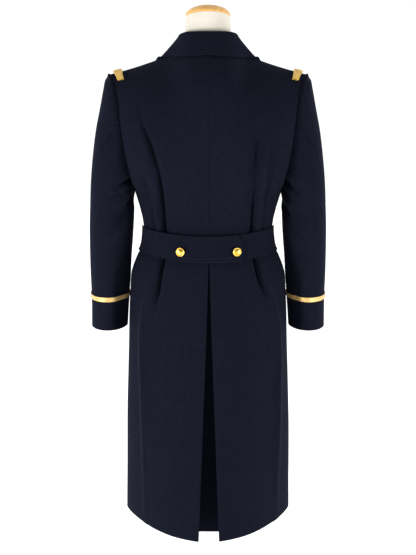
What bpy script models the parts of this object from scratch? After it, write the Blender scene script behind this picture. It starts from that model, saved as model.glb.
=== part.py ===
"""Long double-breasted uniform greatcoat, closed and filled out by a limbless dress form on a stand.

Metres, +Z up.  The origin is on the floor, on the axis of the stand.  The back of the coat faces -Y,
and the wearer's left is at -X.  Every cloth piece is a wall of real thickness on one body surface:
rings from hem to armpit, then a patch that runs over the shoulder.  Pieces that lie on a panel are
made from that surface, moved out along its normal.
"""

import math

import bmesh
import bpy
import numpy as np
from mathutils import Vector
from mathutils.bvhtree import BVHTree

# ---------------------------------------------------------------- sizes
WALL = 0.0025                 # coat cloth with its backing
COLLAR_WALL = 0.0030
BELT_WALL = 0.0030
BRAID_WALL = 0.0011
SEAM = 0.0003                 # gap between pieces that are sewn together
EASE = 0.0004                 # gap under a piece that lies on another

HEM_BACK = 0.2705             # height of the hem at the centre back
HEM_SIDE = 0.284              # and at the side seams
ARMPIT = 1.068
SHOULDER_RUN = 0.360          # length of the patch from the armpit ring over to the shoulder seam
TOP = ARMPIT + SHOULDER_RUN   # value of "v" at the shoulder seam; below the armpit v is a height
NECK_SHARE = 0.30             # share of a patch's width that the neckline takes
SEAM_FLARE = 0.20             # a panel keeps this much room at the side seam, in m per u

BACK, FRONT = -1, 1
LEFT, RIGHT = -1, 1           # the wearer's sides: -X and +X

CENTRE_SEAM_X = 0.0022        # the centre-back seam and the collar hang a little to the right
PLEAT_TOP = 0.935             # the inverted pleat opens here, behind the half belt
PLEAT_HALF_HEM = 0.0245       # half of the opening at the hem
PLEAT_ROLL = 0.0031           # outer radius of the turned pleat edge
RETURN_TOP = 0.050            # half width of the pleat's hidden part at its top
RETURN_HEM = 0.075
UNDERLAY_SET_TOP = 0.0069     # how far the hidden part lies behind the panel
UNDERLAY_SET_HEM = 0.029
UNDERLAY_BOW = 0.0045

BELT_HALF_HEIGHT = 0.0293
BELT_CENTRE_Z = 0.9420
BELT_SIDE_RISE = 0.0150       # the belt dips at the centre back
BELT_TIP = 0.0825             # how far each piece reaches past the centre
BELT_END = 0.985              # share of the way to the side seam
BELT_EASE = 0.0011            # between the half belt and the back
BELT_LAP = 0.0007             # between the two pieces of the belt

BUTTON_RADIUS = 0.0102
BUTTON_HEIGHT = 0.0062
BUTTON_EASE = 0.0005
BELT_BUTTONS_X = (-0.0611, 0.0640)
BELT_BUTTON_DROP = 0.0092     # how far they sit below the middle of the belt
FRONT_BUTTON_X = 0.058
FRONT_BUTTON_ROWS = ((1.155, 0.0008), (1.035, 0.0006), (0.915, 0.0003))  # height and gap behind

LAP = 0.078                   # how far a front reaches past the centre
BREAK_Z = 1.190               # where the lapel starts to turn
LAPEL_TOP = (0.047, 1.3546)   # roll line's upper end, x and z
LAPEL_TIP = (0.136, 1.274)
LAP_LIFT = 0.0042             # the left front lies over the right one
LAPEL_LIFT = 0.0054           # and over the right lapel higher up
LAPEL_EASE = 0.0021           # between a lapel and its front
LAPEL_ROLL = 0.0030           # a lapel stands off more along its roll line

NECK_POINT = (0.082, -0.008, 1.3945)
BACK_NECK = (0.0, -0.075, 1.402)
FRONT_NECK = (0.0, 0.085, 1.345)
SHOULDER_POINT = (0.2300, 0.0, 1.347)
CHEST_ROUNDNESS = 2.2         # how late the section narrows in depth towards the shoulder seam
SHOULDER_ROUNDNESS = 1.2      # how early it gains height
SHOULDER_SAG = 0.0025         # the seam dips a little between neck and shoulder point

FORM_BOTTOM = 0.800
FORM_SET = 0.0170             # how far the form stays behind the coat below the shoulders
FORM_REST = 0.0041            # and at the shoulders, where the coat rests on it
FORM_SHOULDER_SET = 0.0055    # the form's shoulder ends this far inside the armhole
NECK_RADIUS = 0.0554
NECK_TOP_RADIUS = 0.0520
NECK_TOP_Z = 1.4785
NECK_TILT = math.radians(10.5)  # the neck's top plane is higher at the back
CAP_HEIGHT = 0.0250
POLE_RADIUS = 0.0110
FOOT_RADIUS = 0.180
FOOT_HEIGHT = 0.012

# ---------------------------------------------------------------- tables
# height, half width, depth to the back, roundness of the back, depth to the front, roundness there
BODY_RINGS = (
    (0.262, 0.2018, 0.2270, 1.50, 0.192, 2.10),
    (0.330, 0.2010, 0.2170, 1.52, 0.188, 2.10),
    (0.420, 0.2002, 0.2050, 1.56, 0.181, 2.10),
    (0.520, 0.1988, 0.1925, 1.62, 0.173, 2.10),
    (0.620, 0.1963, 0.1805, 1.70, 0.165, 2.10),
    (0.710, 0.1932, 0.1700, 1.80, 0.157, 2.15),
    (0.780, 0.1906, 0.1600, 1.90, 0.150, 2.15),
    (0.835, 0.1876, 0.1505, 1.98, 0.144, 2.15),
    (0.877, 0.1838, 0.1420, 2.05, 0.138, 2.15),
    (0.916, 0.1700, 0.1330, 2.10, 0.131, 2.15),
    (0.940, 0.1590, 0.1265, 2.15, 0.126, 2.15),
    (0.965, 0.1550, 0.1205, 2.20, 0.122, 2.20),
    (0.994, 0.1555, 0.1165, 2.25, 0.121, 2.20),
    (1.030, 0.1632, 0.1180, 2.30, 0.124, 2.25),
    (1.068, 0.1745, 0.1230, 2.35, 0.129, 2.30),
)
# depth and height of the centre line above the armpit
BACK_CENTRE = (
    (-0.1230, 1.068), (-0.1310, 1.130), (-0.1375, 1.200), (-0.1370, 1.270),
    (-0.1265, 1.330), (-0.1045, 1.370), (-0.0750, 1.402),
)
FRONT_CENTRE = (
    (0.1290, 1.068), (0.1350, 1.130), (0.1350, 1.190), (0.1265, 1.250),
    (0.1090, 1.300), (0.0850, 1.345),
)
# height, distance from the centre, depth at the back and at the front of the armhole
ARMHOLE = (
    (1.068, 0.1745, 0.000, 0.000),
    (1.078, 0.1770, -0.028, 0.027),
    (1.102, 0.1828, -0.053, 0.050),
    (1.140, 0.1910, -0.070, 0.065),
    (1.185, 0.1985, -0.0775, 0.070),
    (1.232, 0.2045, -0.0775, 0.070),
    (1.276, 0.2092, -0.0670, 0.061),
    (1.312, 0.2160, -0.0490, 0.045),
    (1.336, 0.2245, -0.0260, 0.025),
    (1.347, 0.2300, 0.000, 0.000),
)
# folds of the back: side, height of each point, distance from the centre there, how far the cloth
# stands out (+) or dips (-), half width, and the heights between which it fades in below and above
BACK_FOLDS = (
    (LEFT, (0.981, 1.032, 1.113, 1.184, 1.262), (0.1015, 0.1060, 0.1150, 0.1345, 0.165),
     -0.0085, 0.0085, (0.972, 0.985), (1.13, 1.27)),
    (LEFT, (0.985, 1.073, 1.165, 1.247), (0.1150, 0.1245, 0.1450, 0.165),
     0.0050, 0.0080, (0.990, 1.020), (1.12, 1.25)),
    (LEFT, (0.985, 1.013, 1.113), (0.1290, 0.1320, 0.1500),
     -0.0045, 0.0060, (0.975, 0.990), (1.07, 1.13)),
    (RIGHT, (0.981, 1.032, 1.131, 1.231), (0.1015, 0.1035, 0.1050, 0.115),
     -0.0080, 0.0105, (0.972, 0.985), (1.14, 1.25)),
    (RIGHT, (0.981, 1.092, 1.193), (0.1125, 0.1200, 0.1350),
     0.0048, 0.0080, (0.990, 1.020), (1.12, 1.22)),
    (RIGHT, (0.985, 1.032, 1.152, 1.279), (0.1285, 0.1317, 0.1400, 0.154),
     -0.0042, 0.0065, (0.975, 0.990), (1.09, 1.28)),
    (LEFT, (0.775, 0.822, 0.871, 0.920), (0.1290, 0.1215, 0.1110, 0.1050),
     -0.0070, 0.0070, (0.770, 0.850), (0.930, 0.945)),
    (RIGHT, (0.790, 0.810, 0.867, 0.920), (0.1500, 0.1478, 0.1222, 0.1100),
     -0.0072, 0.0072, (0.785, 0.850), (0.930, 0.945)),
    (LEFT, (0.288, 0.421, 0.553, 0.656, 0.730, 0.801, 0.880), (0.132, 0.134, 0.1435, 0.150, 0.1505, 0.144, 0.128),
     0.0060, 0.0150, (0.150, 0.700), (0.800, 0.900)),
    (RIGHT, (0.298, 0.367, 0.475, 0.656, 0.749, 0.827, 0.890), (0.162, 0.162, 0.164, 0.1668, 0.1606, 0.1426, 0.130),
     0.0060, 0.0140, (0.150, 0.700), (0.800, 0.900)),
)
# softer folds of the fronts, in the same columns
FRONT_FOLDS = (
    (LEFT, (0.288, 0.560, 0.800), (0.135, 0.140, 0.128), 0.0055, 0.020, (0.150, 0.600), (0.760, 0.900)),
    (RIGHT, (0.288, 0.560, 0.820), (0.140, 0.146, 0.130), 0.0060, 0.019, (0.150, 0.600), (0.780, 0.900)),
    (LEFT, (0.980, 1.060, 1.140), (0.112, 0.122, 0.140), -0.0040, 0.012, (0.960, 1.000), (1.08, 1.15)),
    (RIGHT, (0.980, 1.050, 1.130), (0.110, 0.120, 0.136), -0.0042, 0.012, (0.960, 1.000), (1.08, 1.15)),
)
# sleeve rings: inner point x and z, outer point x and z, back and front depth, rise towards the front
SLEEVE_RINGS = (
    (0.1745, 1.068, 0.2300, 1.347, -0.0775, 0.0700, 0.00),
    (0.1760, 1.062, 0.2420, 1.3470, -0.0800, 0.0715, 0.00),
    (0.1770, 1.057, 0.2486, 1.3115, -0.0815, 0.0730, 0.00),
    (0.1778, 1.052, 0.2575, 1.263, -0.0820, 0.0740, 0.00),
    (0.1781, 1.047, 0.2665, 1.215, -0.0820, 0.0750, 0.00),
    (0.1778, 1.042, 0.2740, 1.160, -0.0810, 0.0760, 0.00),
    (0.1772, 1.036, 0.2800, 1.100, -0.0800, 0.0770, 0.00),
    (0.1768, 1.026, 0.2832, 1.040, -0.0780, 0.0785, 0.01),
    (0.1790, 0.990, 0.2853, 0.990, -0.0755, 0.0800, 0.02),
    (0.1817, 0.950, 0.2860, 0.949, -0.0725, 0.0810, 0.03),
    (0.1850, 0.910, 0.2862, 0.908, -0.0695, 0.0815, 0.04),
    (0.1874, 0.868, 0.2856, 0.866, -0.0660, 0.0810, 0.05),
    (0.1908, 0.825, 0.2842, 0.823, -0.0620, 0.0795, 0.07),
    (0.1938, 0.782, 0.2838, 0.780, -0.0585, 0.0770, 0.08),
    (0.1962, 0.741, 0.2840, 0.740, -0.0560, 0.0755, 0.09),
)
# where the two seams run round the sleeve: ring, then degrees from the outer side towards the back
HIND_SEAM = ((0, 80), (2, 75), (3, 68), (4, 58), (5, 47), (6, 32), (7, 14), (8, -3), (9, -10), (14, -14))
FORE_SEAM = ((0, 228), (4, 226), (9, 220), (14, 215))
# soft creases of a sleeve: ring, degrees round, height out, half width in rings and in degrees
SLEEVE_CREASES = (
    (7.2, 118, -0.0050, 0.45, 34),
    (8.3, 92, 0.0030, 0.80, 40),
    (9.4, 112, -0.0030, 0.70, 34),
)
# collar: degrees round the neck from the centre back, fold line point, edge of the fall
COLLAR_STATIONS = (
    (0, (0.0000, -0.0665, 1.4380), (0.0000, -0.0940, 1.3885)),
    (25, (0.0312, -0.0600, 1.4382), (0.0435, -0.0870, 1.3868)),
    (50, (0.0555, -0.0415, 1.4378), (0.0775, -0.0570, 1.3858)),
    (61, (0.0622, -0.0295, 1.4364), (0.0890, -0.0305, 1.3861)),
    (72, (0.0668, -0.0165, 1.4345), (0.1040, -0.0200, 1.3852)),
    (90, (0.0692, 0.0060, 1.4290), (0.1225, 0.0010, 1.3790)),
    (108, (0.0652, 0.0340, 1.4130), (0.1335, 0.0330, 1.3600)),
    (126, (0.0555, 0.0600, 1.3920), (0.1380, 0.0600, 1.3380)),
    (145, (0.0440, 0.0815, 1.3660), (0.1200, 0.0880, 1.3120)),
)

# ---------------------------------------------------------------- curves and surfaces


def smooth(low, high, value):
    """0 below low, 1 above high, with soft ends."""
    share = np.clip((np.asarray(value, float) - low) / (high - low), 0.0, 1.0)
    return share * share * (3.0 - 2.0 * share)


def slopes_through(knots, rows):
    """Slopes of a smooth curve at each row of a table."""
    gaps = np.diff(knots).reshape((-1,) + (1,) * (rows.ndim - 1))
    steps = np.diff(rows, axis=0) / gaps
    inner = (steps[:-1] * gaps[1:] + steps[1:] * gaps[:-1]) / (gaps[:-1] + gaps[1:])
    return np.concatenate([steps[:1], inner, steps[-1:]])


def hermite(knots, rows, slopes, at):
    """Read the curve at each value of at; rows of shape (K, N, ...) hold one curve per value."""
    at = np.clip(at, knots[0], knots[-1])
    low = np.clip(np.searchsorted(knots, at, side="right") - 1, 0, len(knots) - 2)
    gap = knots[low + 1] - knots[low]
    t = (at - knots[low]) / gap
    if rows.ndim > 2:
        pick = (np.arange(len(at)),)
        t, gap = t[:, None], gap[:, None]
    else:
        pick = ()
        if rows.ndim == 2:
            t, gap = t[:, None], gap[:, None]
    t2, t3 = t * t, t * t * t
    start, end = rows[(low,) + pick], rows[(low + 1,) + pick]
    lean, turn = slopes[(low,) + pick], slopes[(low + 1,) + pick]
    return ((2 * t3 - 3 * t2 + 1) * start + (t3 - 2 * t2 + t) * gap * lean
            + (3 * t2 - 2 * t3) * end + (t3 - t2) * gap * turn)


def curve(table, at):
    """Smooth curve through a table whose first column rises."""
    table = np.asarray(table, float)
    rows = table[:, 1:]
    return hermite(table[:, 0], rows, slopes_through(table[:, 0], rows), np.atleast_1d(np.asarray(at, float)))


def run(points, share):
    """Point at a share of the length of a smooth line through the points."""
    points = np.asarray(points, float)
    lengths = np.linalg.norm(np.diff(points, axis=0), axis=1)
    knots = np.concatenate([[0.0], np.cumsum(lengths)]) / lengths.sum()
    return curve(np.column_stack([knots, points]), share)


def ring(half_width, depth, roundness, side, u):
    """Half of a rounded section, u from the centre line to the side seam."""
    turn = np.asarray(u, float) * math.pi / 2
    across, along = np.abs(np.sin(turn)), np.abs(np.cos(turn))
    reach = ((across / half_width) ** roundness + (along / depth) ** roundness) ** (-1.0 / roundness)
    return reach * across, side * reach * along


def armhole(side, share):
    """Armhole edge of one side, from the armpit to the shoulder point."""
    rows = np.asarray(ARMHOLE, float)
    depth = rows[:, 2] if side == BACK else rows[:, 3]
    return run(np.column_stack([rows[:, 1], depth, rows[:, 0]]), share)


def neckline(turn):
    """Neck seam, turn in degrees from the centre back round to the centre front."""
    turn = np.radians(np.atleast_1d(np.asarray(turn, float)))
    behind = turn <= math.pi / 2
    centre = np.where(behind[:, None], np.asarray(BACK_NECK), np.asarray(FRONT_NECK))
    along = np.abs(np.cos(turn))[:, None]
    point = np.asarray(NECK_POINT) * (1.0 - along) + centre * along
    point[:, 0] = NECK_POINT[0] * np.sin(turn)
    return point


def shoulder_edge(side, u):
    """Top edge of a patch: half of the neckline, then the shoulder seam."""
    u = np.asarray(u, float)
    turn = np.clip(u / NECK_SHARE, 0.0, 1.0) * 90.0
    neck = neckline(turn if side == BACK else 180.0 - turn)
    share = np.clip((u - NECK_SHARE) / (1.0 - NECK_SHARE), 0.0, 1.0)[:, None]
    seam = np.asarray(NECK_POINT) * (1.0 - share) + np.asarray(SHOULDER_POINT) * share
    seam[:, 2] -= SHOULDER_SAG * np.sin(math.pi * share[:, 0])
    return np.where((u < NECK_SHARE)[:, None], neck, seam)


def patch_rows(side, u, shares):
    """The shoulder patch between armpit ring, armhole, shoulder edge and centre line."""
    _, half_width, back_depth, back_round, front_depth, front_round = BODY_RINGS[-1]
    depth, roundness = (back_depth, back_round) if side == BACK else (front_depth, front_round)
    x, y = ring(half_width, depth, roundness, side, u)
    base = np.column_stack([x, y, np.full(len(u), ARMPIT)])
    top = shoulder_edge(side, u)
    centre_table = np.asarray(BACK_CENTRE if side == BACK else FRONT_CENTRE)
    centre_points = np.column_stack([np.zeros(len(centre_table)), centre_table])
    corners = [patch_corner(side, which) for which in ("base centre", "base side", "top centre", "top side")]
    out = (u * u * (1.5 - 0.5 * u))[:, None]
    rows = []
    for share in shares:
        centre = run(centre_points, share)
        edge = armhole(side, share)
        high = np.asarray((share, share ** CHEST_ROUNDNESS, 1.0 - (1.0 - share) ** SHOULDER_ROUNDNESS))
        low = 1.0 - high
        flat = (1 - out) * (low * corners[0] + high * corners[2]) + out * (low * corners[1] + high * corners[3])
        rows.append(low * base + high * top + (1 - out) * centre + out * edge - flat)
    return rows


def patch_corner(side, which):
    """Corner of the shoulder patch."""
    _, half_width, back_depth, _, front_depth, _ = BODY_RINGS[-1]
    depth = back_depth if side == BACK else front_depth
    return np.asarray({
        "base centre": (0.0, side * depth, ARMPIT),
        "base side": (half_width, 0.0, ARMPIT),
        "top centre": BACK_NECK if side == BACK else FRONT_NECK,
        "top side": SHOULDER_POINT,
    }[which])


PATCH_SHARES = (0.14, 0.28, 0.42, 0.56, 0.70, 0.82, 0.92, 1.0)
BODY_KNOTS = np.asarray([row[0] for row in BODY_RINGS] + [ARMPIT + SHOULDER_RUN * s for s in PATCH_SHARES])


def body(side, u, v):
    """Points of the smooth coat surface.  u runs from the centre (0) to the side seam or armhole
    (1 or -1); v is the height up to the armpit and then runs on over the shoulder to TOP."""
    u, v = np.broadcast_arrays(np.atleast_1d(np.asarray(u, float)), np.asarray(v, float))
    shape = u.shape
    u, v = u.ravel(), v.ravel()
    away = np.abs(u)
    rows = []
    for height, half_width, back_depth, back_round, front_depth, front_round in BODY_RINGS:
        depth, roundness = (back_depth, back_round) if side == BACK else (front_depth, front_round)
        x, y = ring(half_width, depth, roundness, side, away)
        rows.append(np.column_stack([x, y, np.full(len(u), height)]))
    rows = np.stack(rows + patch_rows(side, away, PATCH_SHARES))
    points = hermite(BODY_KNOTS, rows, slopes_through(BODY_KNOTS, rows), v)
    kept = side * np.maximum(side * points[:, 1], SEAM_FLARE * (1.0 - away))
    points[:, 1] = np.where((v <= ARMPIT) & (away > 0.9), kept, points[:, 1])
    points[:, 0] *= np.where(u < 0, -1.0, 1.0)
    return points.reshape(shape + (3,))


def normals(side, u, v):
    """Outward normals of the smooth coat surface."""
    u, v = np.broadcast_arrays(np.atleast_1d(np.asarray(u, float)), np.asarray(v, float))
    step_u, step_v = 0.004, 0.002
    across = body(side, np.clip(u + step_u, -1, 1), v) - body(side, np.clip(u - step_u, -1, 1), v)
    low, high = np.clip(v - step_v, BODY_KNOTS[0], TOP), np.clip(v + step_v, BODY_KNOTS[0], TOP)
    along = body(side, u, high) - body(side, u, low)
    found = np.cross(across, along)
    if side == FRONT:
        found = -found
    return found / np.linalg.norm(found, axis=-1, keepdims=True)


def fold_height(folds, x, z):
    """How far the folds of a table lift the cloth at distance x and height z."""
    total = np.zeros_like(x)
    for side, heights, distances, lift, width, (low_0, low_1), (high_0, high_1) in folds:
        middle = side * np.interp(z, heights, distances)
        fade = smooth(low_0, low_1, z) * (1.0 - smooth(high_0, high_1, z))
        total += lift * fade * np.exp(-(((x - middle) / width) ** 2))
    return total


def lapped_height(x, z):
    """How far the left front lies above the right front and the right lapel."""
    edge = roll_line(z)
    over = smooth(edge - 0.082, edge - 0.007, x)
    height = LAP_LIFT + LAPEL_LIFT * smooth(1.07, 1.13, z)
    return over * height * (1.0 - smooth(1.285, 1.345, z))


def cloth(side, u, v, lift=0.0, folds=True):
    """Coat surface with its folds, moved out by lift."""
    points = body(side, u, v)
    out = normals(side, u, v)
    height = np.asarray(lift, float) + np.zeros(points.shape[:-1])
    if folds:
        height = height + fold_height(BACK_FOLDS if side == BACK else FRONT_FOLDS, points[..., 0], points[..., 2])
    return points + out * height[..., None]


SKINS = {}


def skin(side):
    """Fine mesh of the smooth surface of one side, to find points on it."""
    if side not in SKINS:
        u, v = np.meshgrid(np.linspace(-1.0, 1.0, 141), np.linspace(BODY_KNOTS[0], TOP, 221))
        points = body(side, u, v).reshape(-1, 3)
        row, column = np.meshgrid(np.arange(220), np.arange(140), indexing="ij")
        first = (row * 141 + column).ravel()
        quads = np.column_stack([first, first + 1, first + 142, first + 141])
        if side == FRONT:
            quads = quads[:, ::-1]
        SKINS[side] = BVHTree.FromPolygons(points.tolist(), quads.tolist())
    return SKINS[side]


def surface_at(side, x, z):
    """Point of the surface at distance x and height z, and its outward normal."""
    point, out, _, _ = skin(side).ray_cast(Vector((x, side * 0.6, z)), Vector((0.0, -side, 0.0)))
    return np.asarray(point), np.asarray(out)


def clear_of_body(point, lift, seated=False):
    """Move a point out until it is lift clear of the surface, or set it at exactly that height."""
    found = min((skin(side).find_nearest(Vector(point)) for side in (BACK, FRONT)), key=lambda hit: hit[3])
    base, out, distance = np.asarray(found[0]), np.asarray(found[1]), found[3]
    inside = np.dot(point - base, out) < 0.0 and distance < WALL * 4
    if seated or inside or distance < lift:
        return base + out * lift
    return np.asarray(point, float)


# ---------------------------------------------------------------- making objects


def clear_scene():
    for thing in list(bpy.data.objects):
        bpy.data.objects.remove(thing, do_unlink=True)


def material(name, colour, roughness, metallic=0.0):
    made = bpy.data.materials.new(name)
    made.use_nodes = True
    surface = made.node_tree.nodes["Principled BSDF"]
    surface.inputs["Base Color"].default_value = (*colour, 1.0)
    surface.inputs["Roughness"].default_value = roughness
    surface.inputs["Metallic"].default_value = metallic
    made.diffuse_color = (*colour, 1.0)
    return made


def add_object(name, mesh, finish):
    made = bpy.data.objects.new(name, mesh)
    made.data.materials.append(finish)
    bpy.data.collections["greatcoat"].objects.link(made)
    return made


def grid_faces(mesh, points, closed=False, flip=False):
    """Quads between the rows of a grid of points."""
    rows = [[mesh.verts.new(point) for point in row] for row in points]
    columns = len(rows[0])
    for lower, upper in zip(rows, rows[1:]):
        for here in range(columns if closed else columns - 1):
            after = (here + 1) % columns
            quad = (lower[here], lower[after], upper[after], upper[here])
            mesh.faces.new(quad[::-1] if flip else quad)


def sheet(name, grids, finish, wall=WALL, flip=False, closed=False, outward=False):
    """Cloth: open surfaces, welded where they meet, with a wall on their inner or outer side."""
    mesh = bmesh.new()
    for points in grids:
        grid_faces(mesh, points, closed, flip)
    bmesh.ops.remove_doubles(mesh, verts=mesh.verts, dist=0.00002)
    data = bpy.data.meshes.new(name)
    mesh.to_mesh(data)
    mesh.free()
    data.shade_smooth()
    made = add_object(name, data, finish)
    solid = made.modifiers.new("wall", "SOLIDIFY")
    solid.thickness = wall
    solid.offset = 1.0 if outward else -1.0
    solid.use_even_offset = True
    return made


def short_of_shoulder(u):
    """How far a panel stops short of the shoulder seam; more where the ridge is sharp."""
    return 0.0013 + 0.0018 * (1.0 - np.abs(u))


def seam_share(length):
    """Share of a length that a panel stops short of a seam, where its wall leans inward."""
    return 1.5 * SEAM / length


# ---------------------------------------------------------------- the back
PANEL_COLUMNS = (0.0, 0.10, 0.20, 0.30, 0.39, 0.46, 0.52, 0.57, 0.62, 0.67, 0.72, 0.78, 0.85, 0.92, 0.975, 1.0)
SKIRT_ROWS = (0.0, 0.34, 0.44, 0.54, 0.63, 0.71, 0.775, 0.825, 0.868, 0.90, 0.918, PLEAT_TOP)
BODICE_ROWS = (PLEAT_TOP, 0.955, 0.975, 0.993, 1.015, 1.040, 1.068, 1.105, 1.145, 1.185, 1.225, 1.265, 1.305,
               1.340, 1.372, 1.398, 1.416, TOP)


def hem_height(u):
    return HEM_BACK + (HEM_SIDE - HEM_BACK) * smooth(0.15, 0.95, np.abs(u))


def rows_of(u, heights):
    """Heights for each column; a first height of 0 stands for the hem."""
    return np.stack([hem_height(u) if height == 0.0 else np.full(len(u), height) for height in heights])


def pleat_share(z):
    """0 where the pleat opens and 1 at the hem."""
    return np.clip((PLEAT_TOP - np.asarray(z, float)) / (PLEAT_TOP - HEM_BACK), 0.0, 1.0)


def pleat_half(z):
    return SEAM / 2 + (PLEAT_HALF_HEM - SEAM / 2) * pleat_share(z) ** 1.12


def return_half(z):
    return RETURN_TOP + (RETURN_HEM - RETURN_TOP) * pleat_share(z)


def return_depth(z):
    """Depth of the right side of the pleat's inner end."""
    behind = np.asarray([surface_at(BACK, float(x), float(height))[0][1] for x, height in zip(return_half(z), z)])
    return behind + UNDERLAY_SET_TOP + (UNDERLAY_SET_HEM - UNDERLAY_SET_TOP) * pleat_share(z)


def centre_edge(z):
    """Distance of a back panel's edge from the centre; it leaves room for the turned pleat edge."""
    return np.where(z < PLEAT_TOP + 0.001, pleat_half(z) + PLEAT_ROLL, SEAM)


def from_centre_edge(side, u, heights):
    """Columns of a back panel, spread from its centre edge to the side seam."""
    depth = np.interp(heights, [row[0] for row in BODY_RINGS], [row[2] for row in BODY_RINGS])
    start = np.arctan((centre_edge(heights) + side * CENTRE_SEAM_X) / depth) / (math.pi / 2)
    return side * (start + (1.0 - start) * np.abs(u))


def back_panel(side, finish):
    columns = np.asarray(PANEL_COLUMNS)
    columns[-1] -= seam_share(0.30)
    heights = rows_of(columns, SKIRT_ROWS)
    skirt = cloth(BACK, from_centre_edge(side, columns, heights), heights)
    lower = []
    for row in skirt:
        edge, z = row[0], row[0][2]
        half = side * edge[0] - PLEAT_ROLL
        arc = [
            np.asarray((side * (half + PLEAT_ROLL * (1.0 - math.sin(a))), edge[1] + PLEAT_ROLL * (1.0 - math.cos(a)), z))
            for a in np.radians((45.0, 90.0, 135.0, 180.0))
        ]
        end = np.asarray((side * return_half(z), return_depth([z])[0], z))
        hidden = [arc[-1] + (end - arc[-1]) * share for share in (1.0, 0.7, 0.35)]
        lower.append(hidden + arc[::-1] + list(row))
    heights = rows_of(columns, BODICE_ROWS)
    heights[-1] -= short_of_shoulder(columns)
    upper = cloth(BACK, from_centre_edge(side, columns, heights), heights)
    upper[0] = skirt[-1]
    name = "back_left" if side == LEFT else "back_right"
    return sheet(name, [lower, upper], finish, flip=side == LEFT)


def pleat_underlay(finish):
    heights = np.asarray((HEM_BACK + 0.0015, 0.36, 0.45, 0.54, 0.63, 0.71, 0.78, 0.84, 0.885, PLEAT_TOP - 0.004))
    half, depth = return_half(heights) + 0.001, return_depth(heights) + SEAM + 0.0002
    across = np.linspace(-1.0, 1.0, 7)
    rows = []
    for z, wide, back in zip(heights, half, depth):
        bow = UNDERLAY_BOW * pleat_share(z)
        rows.append([(wide * a, back + bow * (1.0 - a * a), z) for a in across])
    return sheet("pleat_underlay", [rows], finish)


# ---------------------------------------------------------------- the fronts
FRONT_ROWS = (0.0, 0.38, 0.50, 0.62, 0.73, 0.81, 0.87, 0.91, 0.945, 0.985, 1.03, 1.068, 1.105, 1.135,
              1.165, 1.19, 1.208, 1.226, 1.245, 1.265, 1.285, 1.305, 1.322, 1.340, 1.356, 1.372, 1.398, 1.416, TOP)
FRONT_SHARES = (0.0, 0.06, 0.12, 0.18, 0.25, 0.33, 0.42, 0.52, 0.63, 0.75, 0.87, 0.97, 1.0)


def roll_line(z):
    """Distance of the front's inner edge from the centre; negative past the centre."""
    return np.interp(z, (BREAK_Z, LAPEL_TOP[1]), (-LAP, LAPEL_TOP[0]))


def inner_edge(v):
    """The u at which a front's inner edge crosses the row v."""
    options = np.linspace(-0.6, 0.4, 401)
    points = body(FRONT, options, np.full(len(options), v))
    beyond = points[:, 0] - roll_line(points[:, 2])
    if beyond[0] > 0:
        return float(options[0])
    return float(options[min(np.searchsorted(beyond > 0, True), len(options) - 1)])


def front_panel(side, finish):
    rows = []
    for v in FRONT_ROWS:
        start = inner_edge(v if v else HEM_SIDE)
        u = start + (1.0 - seam_share(0.30) - start) * np.asarray(FRONT_SHARES)
        heights = hem_height(np.ones(len(u))) if v == 0.0 else np.full(len(u), v)
        if v == TOP:
            heights = heights - short_of_shoulder(u)
        u = u * side
        points = body(FRONT, u, heights)
        lift = lapped_height(points[:, 0], points[:, 2]) if side == LEFT else 0.0
        rows.append(cloth(FRONT, u, heights, lift))
    name = "front_left" if side == LEFT else "front_right"
    return sheet(name, [rows], finish, flip=side == RIGHT)


def on_front(side, x, z, lift):
    """Point of a front at distance x towards its own side, and its outward normal."""
    point, out = surface_at(FRONT, side * x, z)
    over = lapped_height(side * x, z) if side == LEFT else 0.0
    height = fold_height(FRONT_FOLDS, np.asarray(side * x), np.asarray(z))
    return point + out * float(lift + over + height), out


LAPEL_START = 0.04            # share of the roll line where the lapel's cloth starts to show
LAPEL_STOP = 0.975            # it ends just short of the neck seam
LAPEL_SET = 0.0005            # between the lapel and the front's edge
LAPEL_HEEL = 0.006            # width of the lapel where it starts
LAPEL_BELLY = 0.85            # how early its outer edge swings out
LAPEL_RISE = 1.2              # and how late it rises


def lapel(side, finish):
    """Turned facing: from the roll line to an outer edge that ends in the lapel's point."""
    rows = []
    for share in np.linspace(LAPEL_START, 1.0, 11):
        z = BREAK_Z + (LAPEL_TOP[1] - BREAK_Z) * share * LAPEL_STOP
        x = float(roll_line(z)) + LAPEL_SET
        reach = LAPEL_TIP[0] + LAP - LAPEL_HEEL
        tip_x = LAPEL_HEEL - LAP + reach * math.sin(share * math.pi / 2) ** LAPEL_BELLY
        tip_z = BREAK_Z + (LAPEL_TIP[1] - BREAK_Z) * share ** LAPEL_RISE
        row = []
        for across in np.linspace(0.0, 1.0, 8):
            here_x, here_z = x + (tip_x - x) * across, z + (tip_z - z) * across
            covered = smooth(0.026, 0.006, roll_line(here_z) + here_x) if side == RIGHT else 0.0
            roll = LAPEL_ROLL * (1.0 - across) ** 2 * (1.0 - float(covered)) * smooth(0.05, 0.4, share)
            row.append(on_front(side, here_x, here_z, LAPEL_EASE + float(roll))[0])
        rows.append(row)
    name = "lapel_left" if side == LEFT else "lapel_right"
    return sheet(name, [rows], finish, flip=side == RIGHT, outward=True)


# ---------------------------------------------------------------- collar
COLLAR_TURN = 0.0045          # outer radius of the collar's fold
COLLAR_EASE = 0.0010          # between the fall and the shoulders
COLLAR_RIDGE = 0.0012         # more where it passes over the shoulder seam
COLLAR_SWELL = (0.0030, 0.0003)  # how far the fall bows out at the centre back and at the sides
COLLAR_FOOT = (0.0022, 0.0019)  # how far inside and above the neck seam the stand ends
COLLAR_TURNS = (0, 12, 24, 36, 48, 60, 70, 78, 84, 90, 97, 107, 118, 131, 145)  # columns, in degrees


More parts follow.
